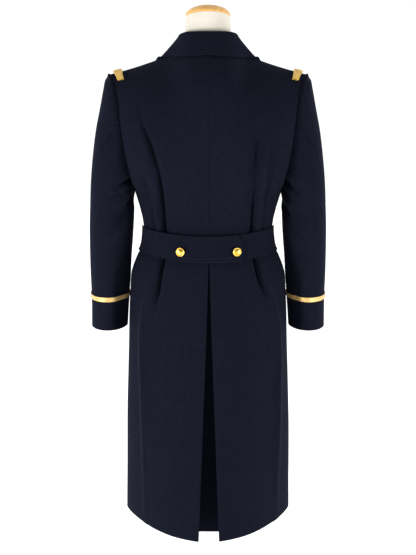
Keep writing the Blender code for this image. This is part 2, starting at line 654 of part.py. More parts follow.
def collar(finish):
    table = np.asarray([(turn, *fold, *edge) for turn, fold, edge in COLLAR_STATIONS])
    mirrored = table[:0:-1].copy()
    mirrored[:, (0, 1, 4)] *= -1
    table = np.concatenate([mirrored, table])
    rows = []
    for turn in [-turn for turn in COLLAR_TURNS[:0:-1]] + list(COLLAR_TURNS):
        values = curve(table, turn)[0]
        values[[0, 3]] += CENTRE_SEAM_X * (1.0 - smooth(40.0, 100.0, abs(turn)))
        fold, edge = values[:3], values[3:]
        foot = neckline(abs(turn))[0]
        foot[0] *= math.copysign(1.0, turn)
        away = np.asarray((edge[0] - fold[0], edge[1] - fold[1], 0.0))
        if abs(turn) < 1.0:
            away = np.asarray((0.0, -1.0, 0.0))
        away /= np.linalg.norm(away)
        foot = foot - away * COLLAR_FOOT[0] + np.asarray((0.0, 0.0, COLLAR_FOOT[1]))
        ridge = COLLAR_RIDGE * (1.0 - smooth(0.010, 0.040, abs(edge[1] + 0.004)))
        ease = COLLAR_EASE + COLLAR_WALL + float(ridge)
        edge = clear_of_body(edge, ease, seated=True)
        inner, outer = fold - away * COLLAR_TURN, fold + away * COLLAR_TURN
        crest = fold + np.asarray((0.0, 0.0, COLLAR_TURN))
        lean = (inner + crest) / 2 + (crest - fold) * 0.20 - away * COLLAR_TURN * 0.20
        turned = (outer + crest) / 2 + (crest - fold) * 0.20 + away * COLLAR_TURN * 0.20
        section = [edge]
        bow = COLLAR_SWELL[0] + (COLLAR_SWELL[1] - COLLAR_SWELL[0]) * float(smooth(40.0, 75.0, abs(turn)))
        for share in (0.2, 0.45, 0.7):
            swell = math.sin(math.pi * share) * bow
            point = edge + (outer - edge) * share + (away * 0.5 + np.asarray((0, 0, 0.85))) * swell
            section.append(clear_of_body(point, ease))
        section += [outer, turned, crest, lean, inner, (inner + foot) / 2, foot]
        rows.append([tuple(point) for point in section])
    return sheet("collar", [rows], finish, wall=COLLAR_WALL, flip=True)


# ---------------------------------------------------------------- sleeves
SLEEVE_ROWS = (0.10, 0.55, 1.2, 2.0, 3.0, 4.0, 5.0, 6.0, 6.7, 7.4, 8.2, 9.2, 10.8, 12.4, 14.0)
RING_BLEND = (1.0, 0.75, 0.40, 0.15, 0.0)  # how much of the armhole's bend each of the first rings keeps
SLEEVE_RADIUS = 0.060         # a mean one, to turn the seam gap into degrees


def sleeve_rings(degrees):
    """Points of every sleeve ring at the given angles, 0 outer, 90 back, 180 inner, 270 front."""
    turn = np.radians(degrees)
    rings = []
    for inner_x, inner_z, outer_x, outer_z, back_y, front_y, rise in SLEEVE_RINGS:
        x = (inner_x + outer_x) / 2 + (outer_x - inner_x) / 2 * np.cos(turn)
        z = (inner_z + outer_z) / 2 + (outer_z - inner_z) / 2 * np.cos(turn)
        middle, half = (back_y + front_y) / 2, (front_y - back_y) / 2
        y = middle - half * np.sin(turn)
        rings.append(np.column_stack([x, y, z + rise * (y - middle)]))
    wrapped = np.mod(degrees, 360.0)
    behind = wrapped <= 180.0
    share = np.where(behind, 1.0 - wrapped / 180.0, (wrapped - 180.0) / 180.0)
    edge = np.where(behind[:, None], armhole(BACK, share), armhole(FRONT, share))
    bend = edge - rings[0]
    for number, amount in enumerate(RING_BLEND):
        rings[number] = rings[number] + bend * amount
    return np.stack(rings)


def sleeve_points(side, rings, degrees, lift=0.0):
    """Sleeve surface at ring numbers and angles of the same shape, for the wearer's side."""
    shape = np.shape(degrees)
    at, degrees = np.ravel(rings).astype(float), np.ravel(degrees).astype(float)

    def surface(at, degrees):
        rows = sleeve_rings(degrees)
        knots = np.arange(len(SLEEVE_RINGS), dtype=float)
        return hermite(knots, rows, slopes_through(knots, rows), at)

    points = surface(at, degrees)
    around = surface(at, degrees + 1.0) - surface(at, degrees - 1.0)
    down = surface(np.clip(at + 0.05, 0, 14), degrees) - surface(np.clip(at - 0.05, 0, 14), degrees)
    out = np.cross(around, down)
    out /= np.linalg.norm(out, axis=1, keepdims=True)
    height = np.full(len(at), float(lift))
    for ring_number, angle, rise, ring_width, angle_width in SLEEVE_CREASES:
        gap = np.mod(degrees - angle + 180.0, 360.0) - 180.0
        height += rise * np.exp(-(((at - ring_number) / ring_width) ** 2) - (gap / angle_width) ** 2)
    points = points + out * height[:, None]
    points[:, 0] *= side
    return points.reshape(shape + (3,))


def sleeve_columns(rings, front):
    """Angles of the columns of one sleeve piece, between its two seams."""
    hind = np.interp(rings, *zip(*HIND_SEAM))
    fore = np.interp(rings, *zip(*FORE_SEAM))
    gap = math.degrees(SEAM / SLEEVE_RADIUS)
    low, high = (fore - 360.0 + gap, hind - gap) if front else (hind + gap, fore - gap)
    shares = np.concatenate([[0.0], np.linspace(0.03, 0.97, 10 if front else 11), [1.0]])
    return low[:, None] + (high - low)[:, None] * shares


def sleeve_piece(side, front, finish):
    rings = np.asarray(SLEEVE_ROWS)
    degrees = sleeve_columns(rings, front)
    points = sleeve_points(side, np.broadcast_to(rings[:, None], degrees.shape), degrees)
    name = f"sleeve_{'front' if front else 'back'}_{'left' if side == LEFT else 'right'}"
    return sheet(name, [points], finish, flip=side == LEFT)


STRIPE_RING = 12.12           # middle of the braid on the sleeve
STRIPE_HALF = 0.118           # half its width in rings, 10 mm in all


def cuff_stripe(side, finish):
    rings = np.asarray((STRIPE_RING - STRIPE_HALF, STRIPE_RING + STRIPE_HALF))
    degrees = np.concatenate([sleeve_columns(rings, True), sleeve_columns(rings, False)], axis=1)
    points = sleeve_points(side, np.broadcast_to(rings[:, None], degrees.shape), degrees, EASE)
    name = "cuff_stripe_left" if side == LEFT else "cuff_stripe_right"
    return sheet(name, [points], finish, wall=BRAID_WALL, flip=side == LEFT, closed=True, outward=True)


# ---------------------------------------------------------------- shoulder straps
STRAP_INNER = 0.872           # where the strap starts between centre and armhole
STRAP_OUTER = 0.972
STRAP_REACHES = (0.0445, 0.029, 0.015, 0.006)  # its rows, from its end up to the shoulder seam
STRAP_HEIGHT = 0.0060


def shoulder_strap(side, finish):
    """Padded strap that lies across the shoulder end, from the back over to the front."""
    across = np.linspace(STRAP_INNER, STRAP_OUTER, 4) * side
    ridge = np.full(len(across), TOP)
    rows = [strap_row(BACK, across, reach) for reach in STRAP_REACHES]
    crest = normals(BACK, across, ridge) + normals(FRONT, across, ridge)
    crest /= np.linalg.norm(crest, axis=1, keepdims=True)
    rows.append(body(BACK, across, ridge) + crest * EASE * 2)
    rows += [strap_row(FRONT, across, reach) for reach in STRAP_REACHES[::-1]]
    name = "shoulder_strap_left" if side == LEFT else "shoulder_strap_right"
    return sheet(name, [rows], finish, wall=STRAP_HEIGHT, flip=side == LEFT, outward=True)


def strap_row(half, across, reach):
    v = np.full(len(across), TOP - reach)
    return body(half, across, v) + normals(half, across, v) * EASE * 1.5


# ---------------------------------------------------------------- half belt
BELT_SIDE_X = 0.155           # distance of the belt's ends from the centre
TIP_ROUNDNESS = 0.96          # how nearly the tip of the belt is a full round
TIP_DEPTH = 0.085             # how far its corners are drawn back, in u
BELT_OVER = (-0.125, -0.090)  # between these the left piece climbs onto the right one's level


def belt_middle(x):
    return BELT_CENTRE_Z + BELT_SIDE_RISE * (np.abs(x) / BELT_SIDE_X) ** 2


def belt_piece(side, finish):
    """Half of the belt; the left one laps over the right one and has a rounded tip."""
    columns = np.asarray(PANEL_COLUMNS[:-1])
    tip = float(np.interp(BELT_TIP, body(BACK, columns, BELT_CENTRE_Z)[:, 0], columns))
    own = columns[columns < BELT_END - 0.02]
    past = np.asarray((1.0, 0.97, 0.90, 0.75, 0.50, 0.20)) * tip
    reach = np.concatenate([-past, own, [BELT_END]])
    rows = []
    for share in (-1.0, -0.8, -0.4, 0.4, 0.8, 1.0):
        rounding = (1.0 - math.sqrt(1.0 - TIP_ROUNDNESS * share * share)) * TIP_DEPTH if side == LEFT else 0.0
        pulled = np.where(reach < 0.0, reach * (1.0 - rounding / tip), reach)
        u = side * pulled
        x = body(BACK, u, np.full(len(u), BELT_CENTRE_Z))[:, 0]
        z = belt_middle(x) + share * BELT_HALF_HEIGHT
        over = smooth(*BELT_OVER, x) if side == LEFT else np.zeros(len(x))
        rows.append(cloth(BACK, u, z, BELT_EASE + (BELT_WALL + BELT_LAP) * over, folds=False))
    name = "belt_left" if side == LEFT else "belt_right"
    return sheet(name, [rows], finish, wall=BELT_WALL, flip=side == LEFT, outward=True)


# ---------------------------------------------------------------- buttons
# share of the radius and share of the height down a domed button's side
BUTTON_PROFILE = ((0.0, 1.0), (0.42, 0.94), (0.75, 0.72), (0.86, 0.48), (1.0, 0.42), (1.0, 0.22), (0.82, 0.0),
                  (0.0, 0.0))


def turned(name, profile, finish, steps=20):
    """Solid of revolution: a profile down its outer side, turned by a Screw modifier."""
    data = bpy.data.meshes.new(name)
    data.from_pydata([(x, 0.0, z) for x, z in profile], [(i, i + 1) for i in range(len(profile) - 1)], [])
    made = add_object(name, data, finish)
    screw = made.modifiers.new("turn", "SCREW")
    screw.steps = screw.render_steps = steps
    screw.use_merge_vertices = True
    screw.merge_threshold = 0.00005
    screw.use_smooth_shade = True
    return made


def button(name, point, out, ease, finish):
    profile = [(r * BUTTON_RADIUS, h * BUTTON_HEIGHT) for r, h in BUTTON_PROFILE]
    made = turned(name, profile, finish, 16)
    made.location = Vector(point) + Vector(out) * ease
    made.rotation_euler = Vector(out).to_track_quat("Z", "Y").to_euler()
    return made


def belt_button(x, name, finish):
    point, out = surface_at(BACK, x, float(belt_middle(x)) - BELT_BUTTON_DROP)
    return button(name, point + out * (BELT_EASE + 2 * BELT_WALL + BELT_LAP), out, BUTTON_EASE, finish)


def front_button(number, column, z, ease, finish):
    point, out = on_front(LEFT, -column * FRONT_BUTTON_X, z, 0.0)
    return button(f"front_button_{number}", point, out, ease, finish)


# ---------------------------------------------------------------- dress form and stand
FORM_ROWS = (FORM_BOTTOM, 0.865, 0.935, 1.005, ARMPIT, 1.125, 1.185, 1.245, 1.305, 1.340, 1.372, 1.398, 1.416, TOP)
FORM_COLUMNS = np.asarray((0.0, 0.10, 0.20, NECK_SHARE, 0.39, 0.52, 0.62, 0.72, 0.85, 0.92, 1.0))
FORM_HIP_SET = 0.020          # extra room between the form and the coat at the form's lower end
FORM_NECK_SET = 0.008         # and beside the neck
# rings of the neck: height, radius, share of a true circle's height
NECK_RINGS = ((1.418, 0.0615, 0.45), (1.440, NECK_RADIUS, 1.0), (NECK_TOP_Z, NECK_TOP_RADIUS, 1.0))
NECK_FOOT_RISE = 0.016        # the neck's foot follows the shoulders, this far above them
NECK_TILT_FROM = 1.420        # height at which the neck starts to tilt


def form_points(side, u, v):
    """Surface of the form: the coat's, drawn in, with the shoulders just under the cloth."""
    points, out = body(side, u, v), normals(side, u, v)
    near_top = smooth(1.36, TOP, v)[..., None]
    down = np.asarray((0.0, 0.0, -1.0))
    out[..., 2] *= smooth(0.90, ARMPIT, v)
    inward = -out * (1.0 - near_top) + down * near_top
    inward /= np.linalg.norm(inward, axis=-1, keepdims=True)
    depth = FORM_SET + (FORM_REST - FORM_SET) * smooth(1.25, 1.35, v)
    depth = depth + FORM_HIP_SET * (1.0 - smooth(0.86, 0.97, v))
    depth = depth + FORM_NECK_SET * (1.0 - smooth(0.28, 0.50, np.abs(u))) * smooth(1.33, 1.39, v)
    points = points + inward * depth[..., None]
    points[..., 0] -= np.sign(u) * FORM_SHOULDER_SET * smooth(0.90, 1.0, np.abs(u)) * smooth(ARMPIT, 1.15, v)
    return points


def dress_form(finish):
    mesh = bmesh.new()
    columns = np.concatenate([-FORM_COLUMNS[:0:-1], FORM_COLUMNS])
    u, v = np.meshgrid(columns, FORM_ROWS)
    top_loop = []
    for side in (BACK, FRONT):
        points = form_points(side, u, v)
        low = v <= ARMPIT + 0.0001
        points[..., 1] = np.where((np.abs(u) == 1.0) & low, 0.0, points[..., 1])
        grid_faces(mesh, points.tolist(), flip=side == FRONT)
        neck = points[-1][np.abs(columns) <= NECK_SHARE + 1e-6]
        top_loop.append(neck if side == BACK else neck[::-1][1:-1])
    base = np.concatenate(top_loop)
    rows = [base]
    for height, radius, share in NECK_RINGS:
        turn = np.arctan2(base[:, 1], base[:, 0])
        level = np.column_stack([radius * np.cos(turn), radius * np.sin(turn), np.full(len(base), height)])
        tilt = smooth(NECK_TILT_FROM, NECK_TOP_Z, height)
        level[:, 2] -= level[:, 1] * math.tan(NECK_TILT) * tilt
        if share < 1.0:
            level[:, 2] = level[:, 2] * share + (base[:, 2] + NECK_FOOT_RISE) * (1.0 - share)
        rows.append(level)
    grid_faces(mesh, [row.tolist() for row in rows], closed=True)
    bmesh.ops.remove_doubles(mesh, verts=mesh.verts, dist=0.0004)
    bmesh.ops.holes_fill(mesh, edges=mesh.edges, sides=0)
    bmesh.ops.recalc_face_normals(mesh, faces=mesh.faces)
    data = bpy.data.meshes.new("form")
    mesh.to_mesh(data)
    mesh.free()
    data.shade_smooth()
    return add_object("form", data, finish)


def form_cap(finish):
    """Turned wooden cap on the form's neck."""
    profile = [(NECK_TOP_RADIUS * r, CAP_HEIGHT * h) for r, h in
               ((0.0, 1.0), (0.30, 0.97), (0.56, 0.87), (0.78, 0.70), (0.93, 0.46), (1.02, 0.26), (1.02, 0.06),
                (0.99, 0.0), (0.0, 0.0))]
    made = turned("form_cap", profile, finish, 24)
    made.location = (0.0, 0.0, NECK_TOP_Z + SEAM)
    made.rotation_euler = (-NECK_TILT, 0.0, 0.0)
    return made


def stand(finish):
    """Round foot with a pole up to the form."""
    top = FORM_BOTTOM - SEAM
    profile = ((0.0, top), (POLE_RADIUS, top), (POLE_RADIUS, 0.060), (0.019, 0.052), (0.021, 0.026),
               (0.034, FOOT_HEIGHT + 0.006), (FOOT_RADIUS - 0.008, FOOT_HEIGHT), (FOOT_RADIUS, FOOT_HEIGHT - 0.005),
               (FOOT_RADIUS, 0.0), (0.0, 0.0))
    return turned("stand", profile, finish, 32)


# ---------------------------------------------------------------- the whole
def main():
    clear_scene()
    group = bpy.data.collections.new("greatcoat")
    bpy.context.scene.collection.children.link(group)
    wool = material("navy wool", (0.0123, 0.0137, 0.0242), 0.85)
    braid = material("gold braid", (0.78, 0.55, 0.20), 0.45, 0.3)
    bullion = material("gold bullion", (0.83, 0.62, 0.16), 0.40, 0.5)
    gilt = material("gilt brass", (0.85, 0.60, 0.18), 0.25, 1.0)
    canvas = material("cream form cover", (0.90, 0.86, 0.77), 0.80)
    wood = material("light wood", (0.78, 0.48, 0.15), 0.45)
    steel = material("white lacquer", (0.85, 0.85, 0.84), 0.35)

    for side in (LEFT, RIGHT):
        back_panel(side, wool)
        front_panel(side, wool)
        lapel(side, wool)
        sleeve_piece(side, True, wool)
        sleeve_piece(side, False, wool)
        cuff_stripe(side, braid)
        shoulder_strap(side, bullion)
        belt_piece(side, wool)
    pleat_underlay(wool)
    collar(wool)
    for x, name in zip(BELT_BUTTONS_X, ("belt_button_left", "belt_button_right")):
        belt_button(x, name, gilt)
    number = 0
    for z, ease in FRONT_BUTTON_ROWS:
        for column in (LEFT, RIGHT):
            number += 1
            front_button(number, column, z, ease, gilt)
    dress_form(canvas)
    form_cap(wood)
    stand(steel)


main()
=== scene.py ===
"""Looks of a long navy uniform greatcoat, closed on a limbless dress form, as a sidebar add-on.

Metres, +Z up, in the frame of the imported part: the back of the coat faces -Y and the wearer's left is
at -X.  Every cloth piece is built again on the part's own surface, as a fine shell with its creases,
rolled seam edges and stitching, and then stands for the plain solid.  Run as a script it builds all.
"""

import math

import bmesh
import bpy
import numpy as np
from mathutils import Matrix, Vector, noise
from mathutils.bvhtree import BVHTree


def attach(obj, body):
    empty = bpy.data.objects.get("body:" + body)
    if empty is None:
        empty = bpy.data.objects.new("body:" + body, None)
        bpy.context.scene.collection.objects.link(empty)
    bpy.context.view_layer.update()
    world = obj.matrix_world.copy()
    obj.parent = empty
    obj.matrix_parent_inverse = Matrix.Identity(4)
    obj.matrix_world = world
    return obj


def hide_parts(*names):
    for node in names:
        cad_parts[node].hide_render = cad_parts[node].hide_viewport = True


bl_info = {
    "name": "Uniform Greatcoat",
    "version": (1, 0, 0),
    "blender": (4, 5, 0),
    "location": "3D View > Sidebar > Greatcoat",
    "description": "Builds a napped wool greatcoat on a dress form, piece by piece",
    "category": "Add Mesh",
}

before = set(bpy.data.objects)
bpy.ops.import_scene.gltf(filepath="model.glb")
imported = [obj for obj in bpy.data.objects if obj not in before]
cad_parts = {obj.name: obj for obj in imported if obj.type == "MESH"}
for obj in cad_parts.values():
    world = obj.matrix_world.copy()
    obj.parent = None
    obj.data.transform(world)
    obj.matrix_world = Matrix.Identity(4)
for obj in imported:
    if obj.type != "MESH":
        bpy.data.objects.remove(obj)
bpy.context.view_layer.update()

# ---------------------------------------------------------------- sizes
WALL = 0.0025                 # coat cloth with its backing
COLLAR_WALL = 0.0030
BELT_WALL = 0.0030
BRAID_WALL = 0.0011
SEAM = 0.0003                 # gap between pieces that are sewn together
EASE = 0.0004                 # gap under a piece that lies on another

HEM_BACK = 0.2705             # height of the hem at the centre back
HEM_SIDE = 0.284              # and at the side seams
ARMPIT = 1.068
SHOULDER_RUN = 0.360          # length of the patch from the armpit ring over to the shoulder seam
TOP = ARMPIT + SHOULDER_RUN   # value of "v" at the shoulder seam; below the armpit v is a height
NECK_SHARE = 0.30             # share of a patch's width that the neckline takes
SEAM_FLARE = 0.20             # a panel keeps this much room at the side seam, in m per u

BACK, FRONT = -1, 1
LEFT, RIGHT = -1, 1           # the wearer's sides: -X and +X

CENTRE_SEAM_X = 0.0022        # the centre-back seam and the collar hang a little to the right
PLEAT_TOP = 0.935             # the inverted pleat opens here, behind the half belt
PLEAT_HALF_HEM = 0.0245       # half of the opening at the hem
PLEAT_ROLL = 0.0031           # outer radius of the turned pleat edge
RETURN_TOP = 0.050            # half width of the pleat's hidden part at its top
RETURN_HEM = 0.075
UNDERLAY_SET_TOP = 0.0069     # how far the hidden part lies behind the panel
UNDERLAY_SET_HEM = 0.029
UNDERLAY_BOW = 0.0045

BELT_HALF_HEIGHT = 0.0293
BELT_CENTRE_Z = 0.9420
BELT_SIDE_RISE = 0.0150       # the belt dips at the centre back
BELT_TIP = 0.0825             # how far each piece reaches past the centre
BELT_END = 0.985              # share of the way to the side seam
BELT_EASE = 0.0011            # between the half belt and the back
BELT_LAP = 0.0007             # between the two pieces of the belt

BUTTON_RADIUS = 0.0102
BUTTON_HEIGHT = 0.0062
BUTTON_EASE = 0.0005
BELT_BUTTONS_X = (-0.0611, 0.0640)
BELT_BUTTON_DROP = 0.0092     # how far they sit below the middle of the belt
FRONT_BUTTON_X = 0.058
FRONT_BUTTON_ROWS = ((1.155, 0.0008), (1.035, 0.0006), (0.915, 0.0003))  # height and gap behind

LAP = 0.078                   # how far a front reaches past the centre
BREAK_Z = 1.190               # where the lapel starts to turn
LAPEL_TOP = (0.047, 1.3546)   # roll line's upper end, x and z
LAPEL_TIP = (0.136, 1.274)
LAP_LIFT = 0.0042             # the left front lies over the right one
LAPEL_LIFT = 0.0054           # and over the right lapel higher up
LAPEL_EASE = 0.0021           # between a lapel and its front
LAPEL_ROLL = 0.0030           # a lapel stands off more along its roll line

NECK_POINT = (0.082, -0.008, 1.3945)
BACK_NECK = (0.0, -0.075, 1.402)
FRONT_NECK = (0.0, 0.085, 1.345)
SHOULDER_POINT = (0.2300, 0.0, 1.347)
CHEST_ROUNDNESS = 2.2         # how late the section narrows in depth towards the shoulder seam
SHOULDER_ROUNDNESS = 1.2      # how early it gains height
SHOULDER_SAG = 0.0025         # the seam dips a little between neck and shoulder point

FORM_BOTTOM = 0.800
FORM_SET = 0.0170             # how far the form stays behind the coat below the shoulders
FORM_REST = 0.0041            # and at the shoulders, where the coat rests on it
FORM_SHOULDER_SET = 0.0055    # the form's shoulder ends this far inside the armhole
NECK_RADIUS = 0.0554
NECK_TOP_RADIUS = 0.0520
NECK_TOP_Z = 1.4785
NECK_TILT = math.radians(10.5)  # the neck's top plane is higher at the back
CAP_HEIGHT = 0.0250

# ---------------------------------------------------------------- tables
# height, half width, depth to the back, roundness of the back, depth to the front, roundness there
BODY_RINGS = (
    (0.262, 0.2018, 0.2270, 1.50, 0.192, 2.10),
    (0.330, 0.2010, 0.2170, 1.52, 0.188, 2.10),
    (0.420, 0.2002, 0.2050, 1.56, 0.181, 2.10),
    (0.520, 0.1988, 0.1925, 1.62, 0.173, 2.10),
    (0.620, 0.1963, 0.1805, 1.70, 0.165, 2.10),
    (0.710, 0.1932, 0.1700, 1.80, 0.157, 2.15),
    (0.780, 0.1906, 0.1600, 1.90, 0.150, 2.15),
    (0.835, 0.1876, 0.1505, 1.98, 0.144, 2.15),
    (0.877, 0.1838, 0.1420, 2.05, 0.138, 2.15),
    (0.916, 0.1700, 0.1330, 2.10, 0.131, 2.15),
    (0.940, 0.1590, 0.1265, 2.15, 0.126, 2.15),
    (0.965, 0.1550, 0.1205, 2.20, 0.122, 2.20),
    (0.994, 0.1555, 0.1165, 2.25, 0.121, 2.20),
    (1.030, 0.1632, 0.1180, 2.30, 0.124, 2.25),
    (1.068, 0.1745, 0.1230, 2.35, 0.129, 2.30),
)
# depth and height of the centre line above the armpit
BACK_CENTRE = (
    (-0.1230, 1.068), (-0.1310, 1.130), (-0.1375, 1.200), (-0.1370, 1.270),
    (-0.1265, 1.330), (-0.1045, 1.370), (-0.0750, 1.402),
)
FRONT_CENTRE = (
    (0.1290, 1.068), (0.1350, 1.130), (0.1350, 1.190), (0.1265, 1.250),
    (0.1090, 1.300), (0.0850, 1.345),
)
# height, distance from the centre, depth at the back and at the front of the armhole
ARMHOLE = (
    (1.068, 0.1745, 0.000, 0.000),
    (1.078, 0.1770, -0.028, 0.027),
    (1.102, 0.1828, -0.053, 0.050),
    (1.140, 0.1910, -0.070, 0.065),
    (1.185, 0.1985, -0.0775, 0.070),
    (1.232, 0.2045, -0.0775, 0.070),
    (1.276, 0.2092, -0.0670, 0.061),
    (1.312, 0.2160, -0.0490, 0.045),
    (1.336, 0.2245, -0.0260, 0.025),
    (1.347, 0.2300, 0.000, 0.000),
)
# folds of the back: side, height of each point, distance from the centre there, how far the cloth
# stands out (+) or dips (-), half width, and the heights between which it fades in below and above
BACK_FOLDS = (
    (LEFT, (0.981, 1.032, 1.113, 1.184, 1.262), (0.1015, 0.1060, 0.1150, 0.1345, 0.165),
     -0.0085, 0.0085, (0.972, 0.985), (1.13, 1.27)),
    (LEFT, (0.985, 1.073, 1.165, 1.247), (0.1150, 0.1245, 0.1450, 0.165),
     0.0050, 0.0080, (0.990, 1.020), (1.12, 1.25)),
    (LEFT, (0.985, 1.013, 1.113), (0.1290, 0.1320, 0.1500),
     -0.0045, 0.0060, (0.975, 0.990), (1.07, 1.13)),
    (RIGHT, (0.981, 1.032, 1.131, 1.231), (0.1015, 0.1035, 0.1050, 0.115),
     -0.0080, 0.0105, (0.972, 0.985), (1.14, 1.25)),
    (RIGHT, (0.981, 1.092, 1.193), (0.1125, 0.1200, 0.1350),
     0.0048, 0.0080, (0.990, 1.020), (1.12, 1.22)),
    (RIGHT, (0.985, 1.032, 1.152, 1.279), (0.1285, 0.1317, 0.1400, 0.154),
     -0.0042, 0.0065, (0.975, 0.990), (1.09, 1.28)),
    (LEFT, (0.775, 0.822, 0.871, 0.920), (0.1290, 0.1215, 0.1110, 0.1050),
     -0.0070, 0.0070, (0.770, 0.850), (0.930, 0.945)),
    (RIGHT, (0.790, 0.810, 0.867, 0.920), (0.1500, 0.1478, 0.1222, 0.1100),
     -0.0072, 0.0072, (0.785, 0.850), (0.930, 0.945)),
    (LEFT, (0.288, 0.421, 0.553, 0.656, 0.730, 0.801, 0.880),
     (0.132, 0.134, 0.1435, 0.150, 0.1505, 0.144, 0.128),
     0.0060, 0.0150, (0.150, 0.700), (0.800, 0.900)),
    (RIGHT, (0.298, 0.367, 0.475, 0.656, 0.749, 0.827, 0.890),
     (0.162, 0.162, 0.164, 0.1668, 0.1606, 0.1426, 0.130),
     0.0060, 0.0140, (0.150, 0.700), (0.800, 0.900)),
)
# softer folds of the fronts, in the same columns
FRONT_FOLDS = (
    (LEFT, (0.288, 0.560, 0.800), (0.135, 0.140, 0.128), 0.0055, 0.020, (0.150, 0.600), (0.760, 0.900)),
    (RIGHT, (0.288, 0.560, 0.820), (0.140, 0.146, 0.130), 0.0060, 0.019, (0.150, 0.600), (0.780, 0.900)),
    (LEFT, (0.980, 1.060, 1.140), (0.112, 0.122, 0.140), -0.0040, 0.012, (0.960, 1.000), (1.08, 1.15)),
    (RIGHT, (0.980, 1.050, 1.130), (0.110, 0.120, 0.136), -0.0042, 0.012, (0.960, 1.000), (1.08, 1.15)),
)
# sleeve rings: inner point x and z, outer point x and z, back and front depth, rise towards the front
SLEEVE_RINGS = (
    (0.1745, 1.068, 0.2300, 1.347, -0.0775, 0.0700, 0.00),
    (0.1760, 1.062, 0.2420, 1.3470, -0.0800, 0.0715, 0.00),
    (0.1770, 1.057, 0.2486, 1.3115, -0.0815, 0.0730, 0.00),
    (0.1778, 1.052, 0.2575, 1.263, -0.0820, 0.0740, 0.00),
    (0.1781, 1.047, 0.2665, 1.215, -0.0820, 0.0750, 0.00),
    (0.1778, 1.042, 0.2740, 1.160, -0.0810, 0.0760, 0.00),
    (0.1772, 1.036, 0.2800, 1.100, -0.0800, 0.0770, 0.00),
    (0.1768, 1.026, 0.2832, 1.040, -0.0780, 0.0785, 0.01),
    (0.1790, 0.990, 0.2853, 0.990, -0.0755, 0.0800, 0.02),
    (0.1817, 0.950, 0.2860, 0.949, -0.0725, 0.0810, 0.03),
    (0.1850, 0.910, 0.2862, 0.908, -0.0695, 0.0815, 0.04),
    (0.1874, 0.868, 0.2856, 0.866, -0.0660, 0.0810, 0.05),
    (0.1908, 0.825, 0.2842, 0.823, -0.0620, 0.0795, 0.07),
    (0.1938, 0.782, 0.2838, 0.780, -0.0585, 0.0770, 0.08),
    (0.1962, 0.741, 0.2840, 0.740, -0.0560, 0.0755, 0.09),
)
# where the two seams run round the sleeve: ring, then degrees from the outer side towards the back
HIND_SEAM = ((0, 80), (2, 75), (3, 68), (4, 58), (5, 47), (6, 32), (7, 14), (8, -3), (9, -10), (14, -14))
FORE_SEAM = ((0, 228), (4, 226), (9, 220), (14, 215))
# soft creases of a sleeve: ring, degrees round, height out, half width in rings and in degrees
SLEEVE_CREASES = (
    (7.2, 118, -0.0050, 0.45, 34),
    (8.3, 92, 0.0030, 0.80, 40),
    (9.4, 112, -0.0030, 0.70, 34),
)
# collar: degrees round the neck from the centre back, fold line point, edge of the fall
COLLAR_STATIONS = (
    (0, (0.0000, -0.0665, 1.4380), (0.0000, -0.0940, 1.3885)),
    (25, (0.0312, -0.0600, 1.4382), (0.0435, -0.0870, 1.3868)),
    (50, (0.0555, -0.0415, 1.4378), (0.0775, -0.0570, 1.3858)),
    (61, (0.0622, -0.0295, 1.4364), (0.0890, -0.0305, 1.3861)),
    (72, (0.0668, -0.0165, 1.4345), (0.1040, -0.0200, 1.3852)),
    (90, (0.0692, 0.0060, 1.4290), (0.1225, 0.0010, 1.3790)),
    (108, (0.0652, 0.0340, 1.4130), (0.1335, 0.0330, 1.3600)),
    (126, (0.0555, 0.0600, 1.3920), (0.1380, 0.0600, 1.3380)),
    (145, (0.0440, 0.0815, 1.3660), (0.1200, 0.0880, 1.3120)),
)

# ---------------------------------------------------------------- curves and surfaces


def smooth(low, high, value):
    """0 below low, 1 above high, with soft ends."""
    share = np.clip((np.asarray(value, float) - low) / (high - low), 0.0, 1.0)
    return share * share * (3.0 - 2.0 * share)


def slopes_through(knots, rows):
    """Slopes of a smooth curve at each row of a table."""
    gaps = np.diff(knots).reshape((-1,) + (1,) * (rows.ndim - 1))
    steps = np.diff(rows, axis=0) / gaps
    inner = (steps[:-1] * gaps[1:] + steps[1:] * gaps[:-1]) / (gaps[:-1] + gaps[1:])
    return np.concatenate([steps[:1], inner, steps[-1:]])


def hermite(knots, rows, slopes, at):
    """Read the curve at each value of at; rows of shape (K, N, ...) hold one curve per value."""
    at = np.clip(at, knots[0], knots[-1])
    low = np.clip(np.searchsorted(knots, at, side="right") - 1, 0, len(knots) - 2)
    gap = knots[low + 1] - knots[low]
    t = (at - knots[low]) / gap
    if rows.ndim > 2:
        pick = (np.arange(len(at)),)
        t, gap = t[:, None], gap[:, None]
    else:
        pick = ()
        if rows.ndim == 2:
            t, gap = t[:, None], gap[:, None]
    t2, t3 = t * t, t * t * t
    start, end = rows[(low,) + pick], rows[(low + 1,) + pick]
    lean, turn = slopes[(low,) + pick], slopes[(low + 1,) + pick]
    return ((2 * t3 - 3 * t2 + 1) * start + (t3 - 2 * t2 + t) * gap * lean
            + (3 * t2 - 2 * t3) * end + (t3 - t2) * gap * turn)


def curve(table, at):
    """Smooth curve through a table whose first column rises."""
    table = np.asarray(table, float)
    rows = table[:, 1:]
    return hermite(table[:, 0], rows, slopes_through(table[:, 0], rows), np.atleast_1d(np.asarray(at, float)))


def run(points, share):
    """Point at a share of the length of a smooth line through the points."""
    points = np.asarray(points, float)
    lengths = np.linalg.norm(np.diff(points, axis=0), axis=1)
    knots = np.concatenate([[0.0], np.cumsum(lengths)]) / lengths.sum()
    return curve(np.column_stack([knots, points]), share)


def ring(half_width, depth, roundness, side, u):
    """Half of a rounded section, u from the centre line to the side seam."""
    turn = np.asarray(u, float) * math.pi / 2
    across, along = np.abs(np.sin(turn)), np.abs(np.cos(turn))
    reach = ((across / half_width) ** roundness + (along / depth) ** roundness) ** (-1.0 / roundness)
    return reach * across, side * reach * along


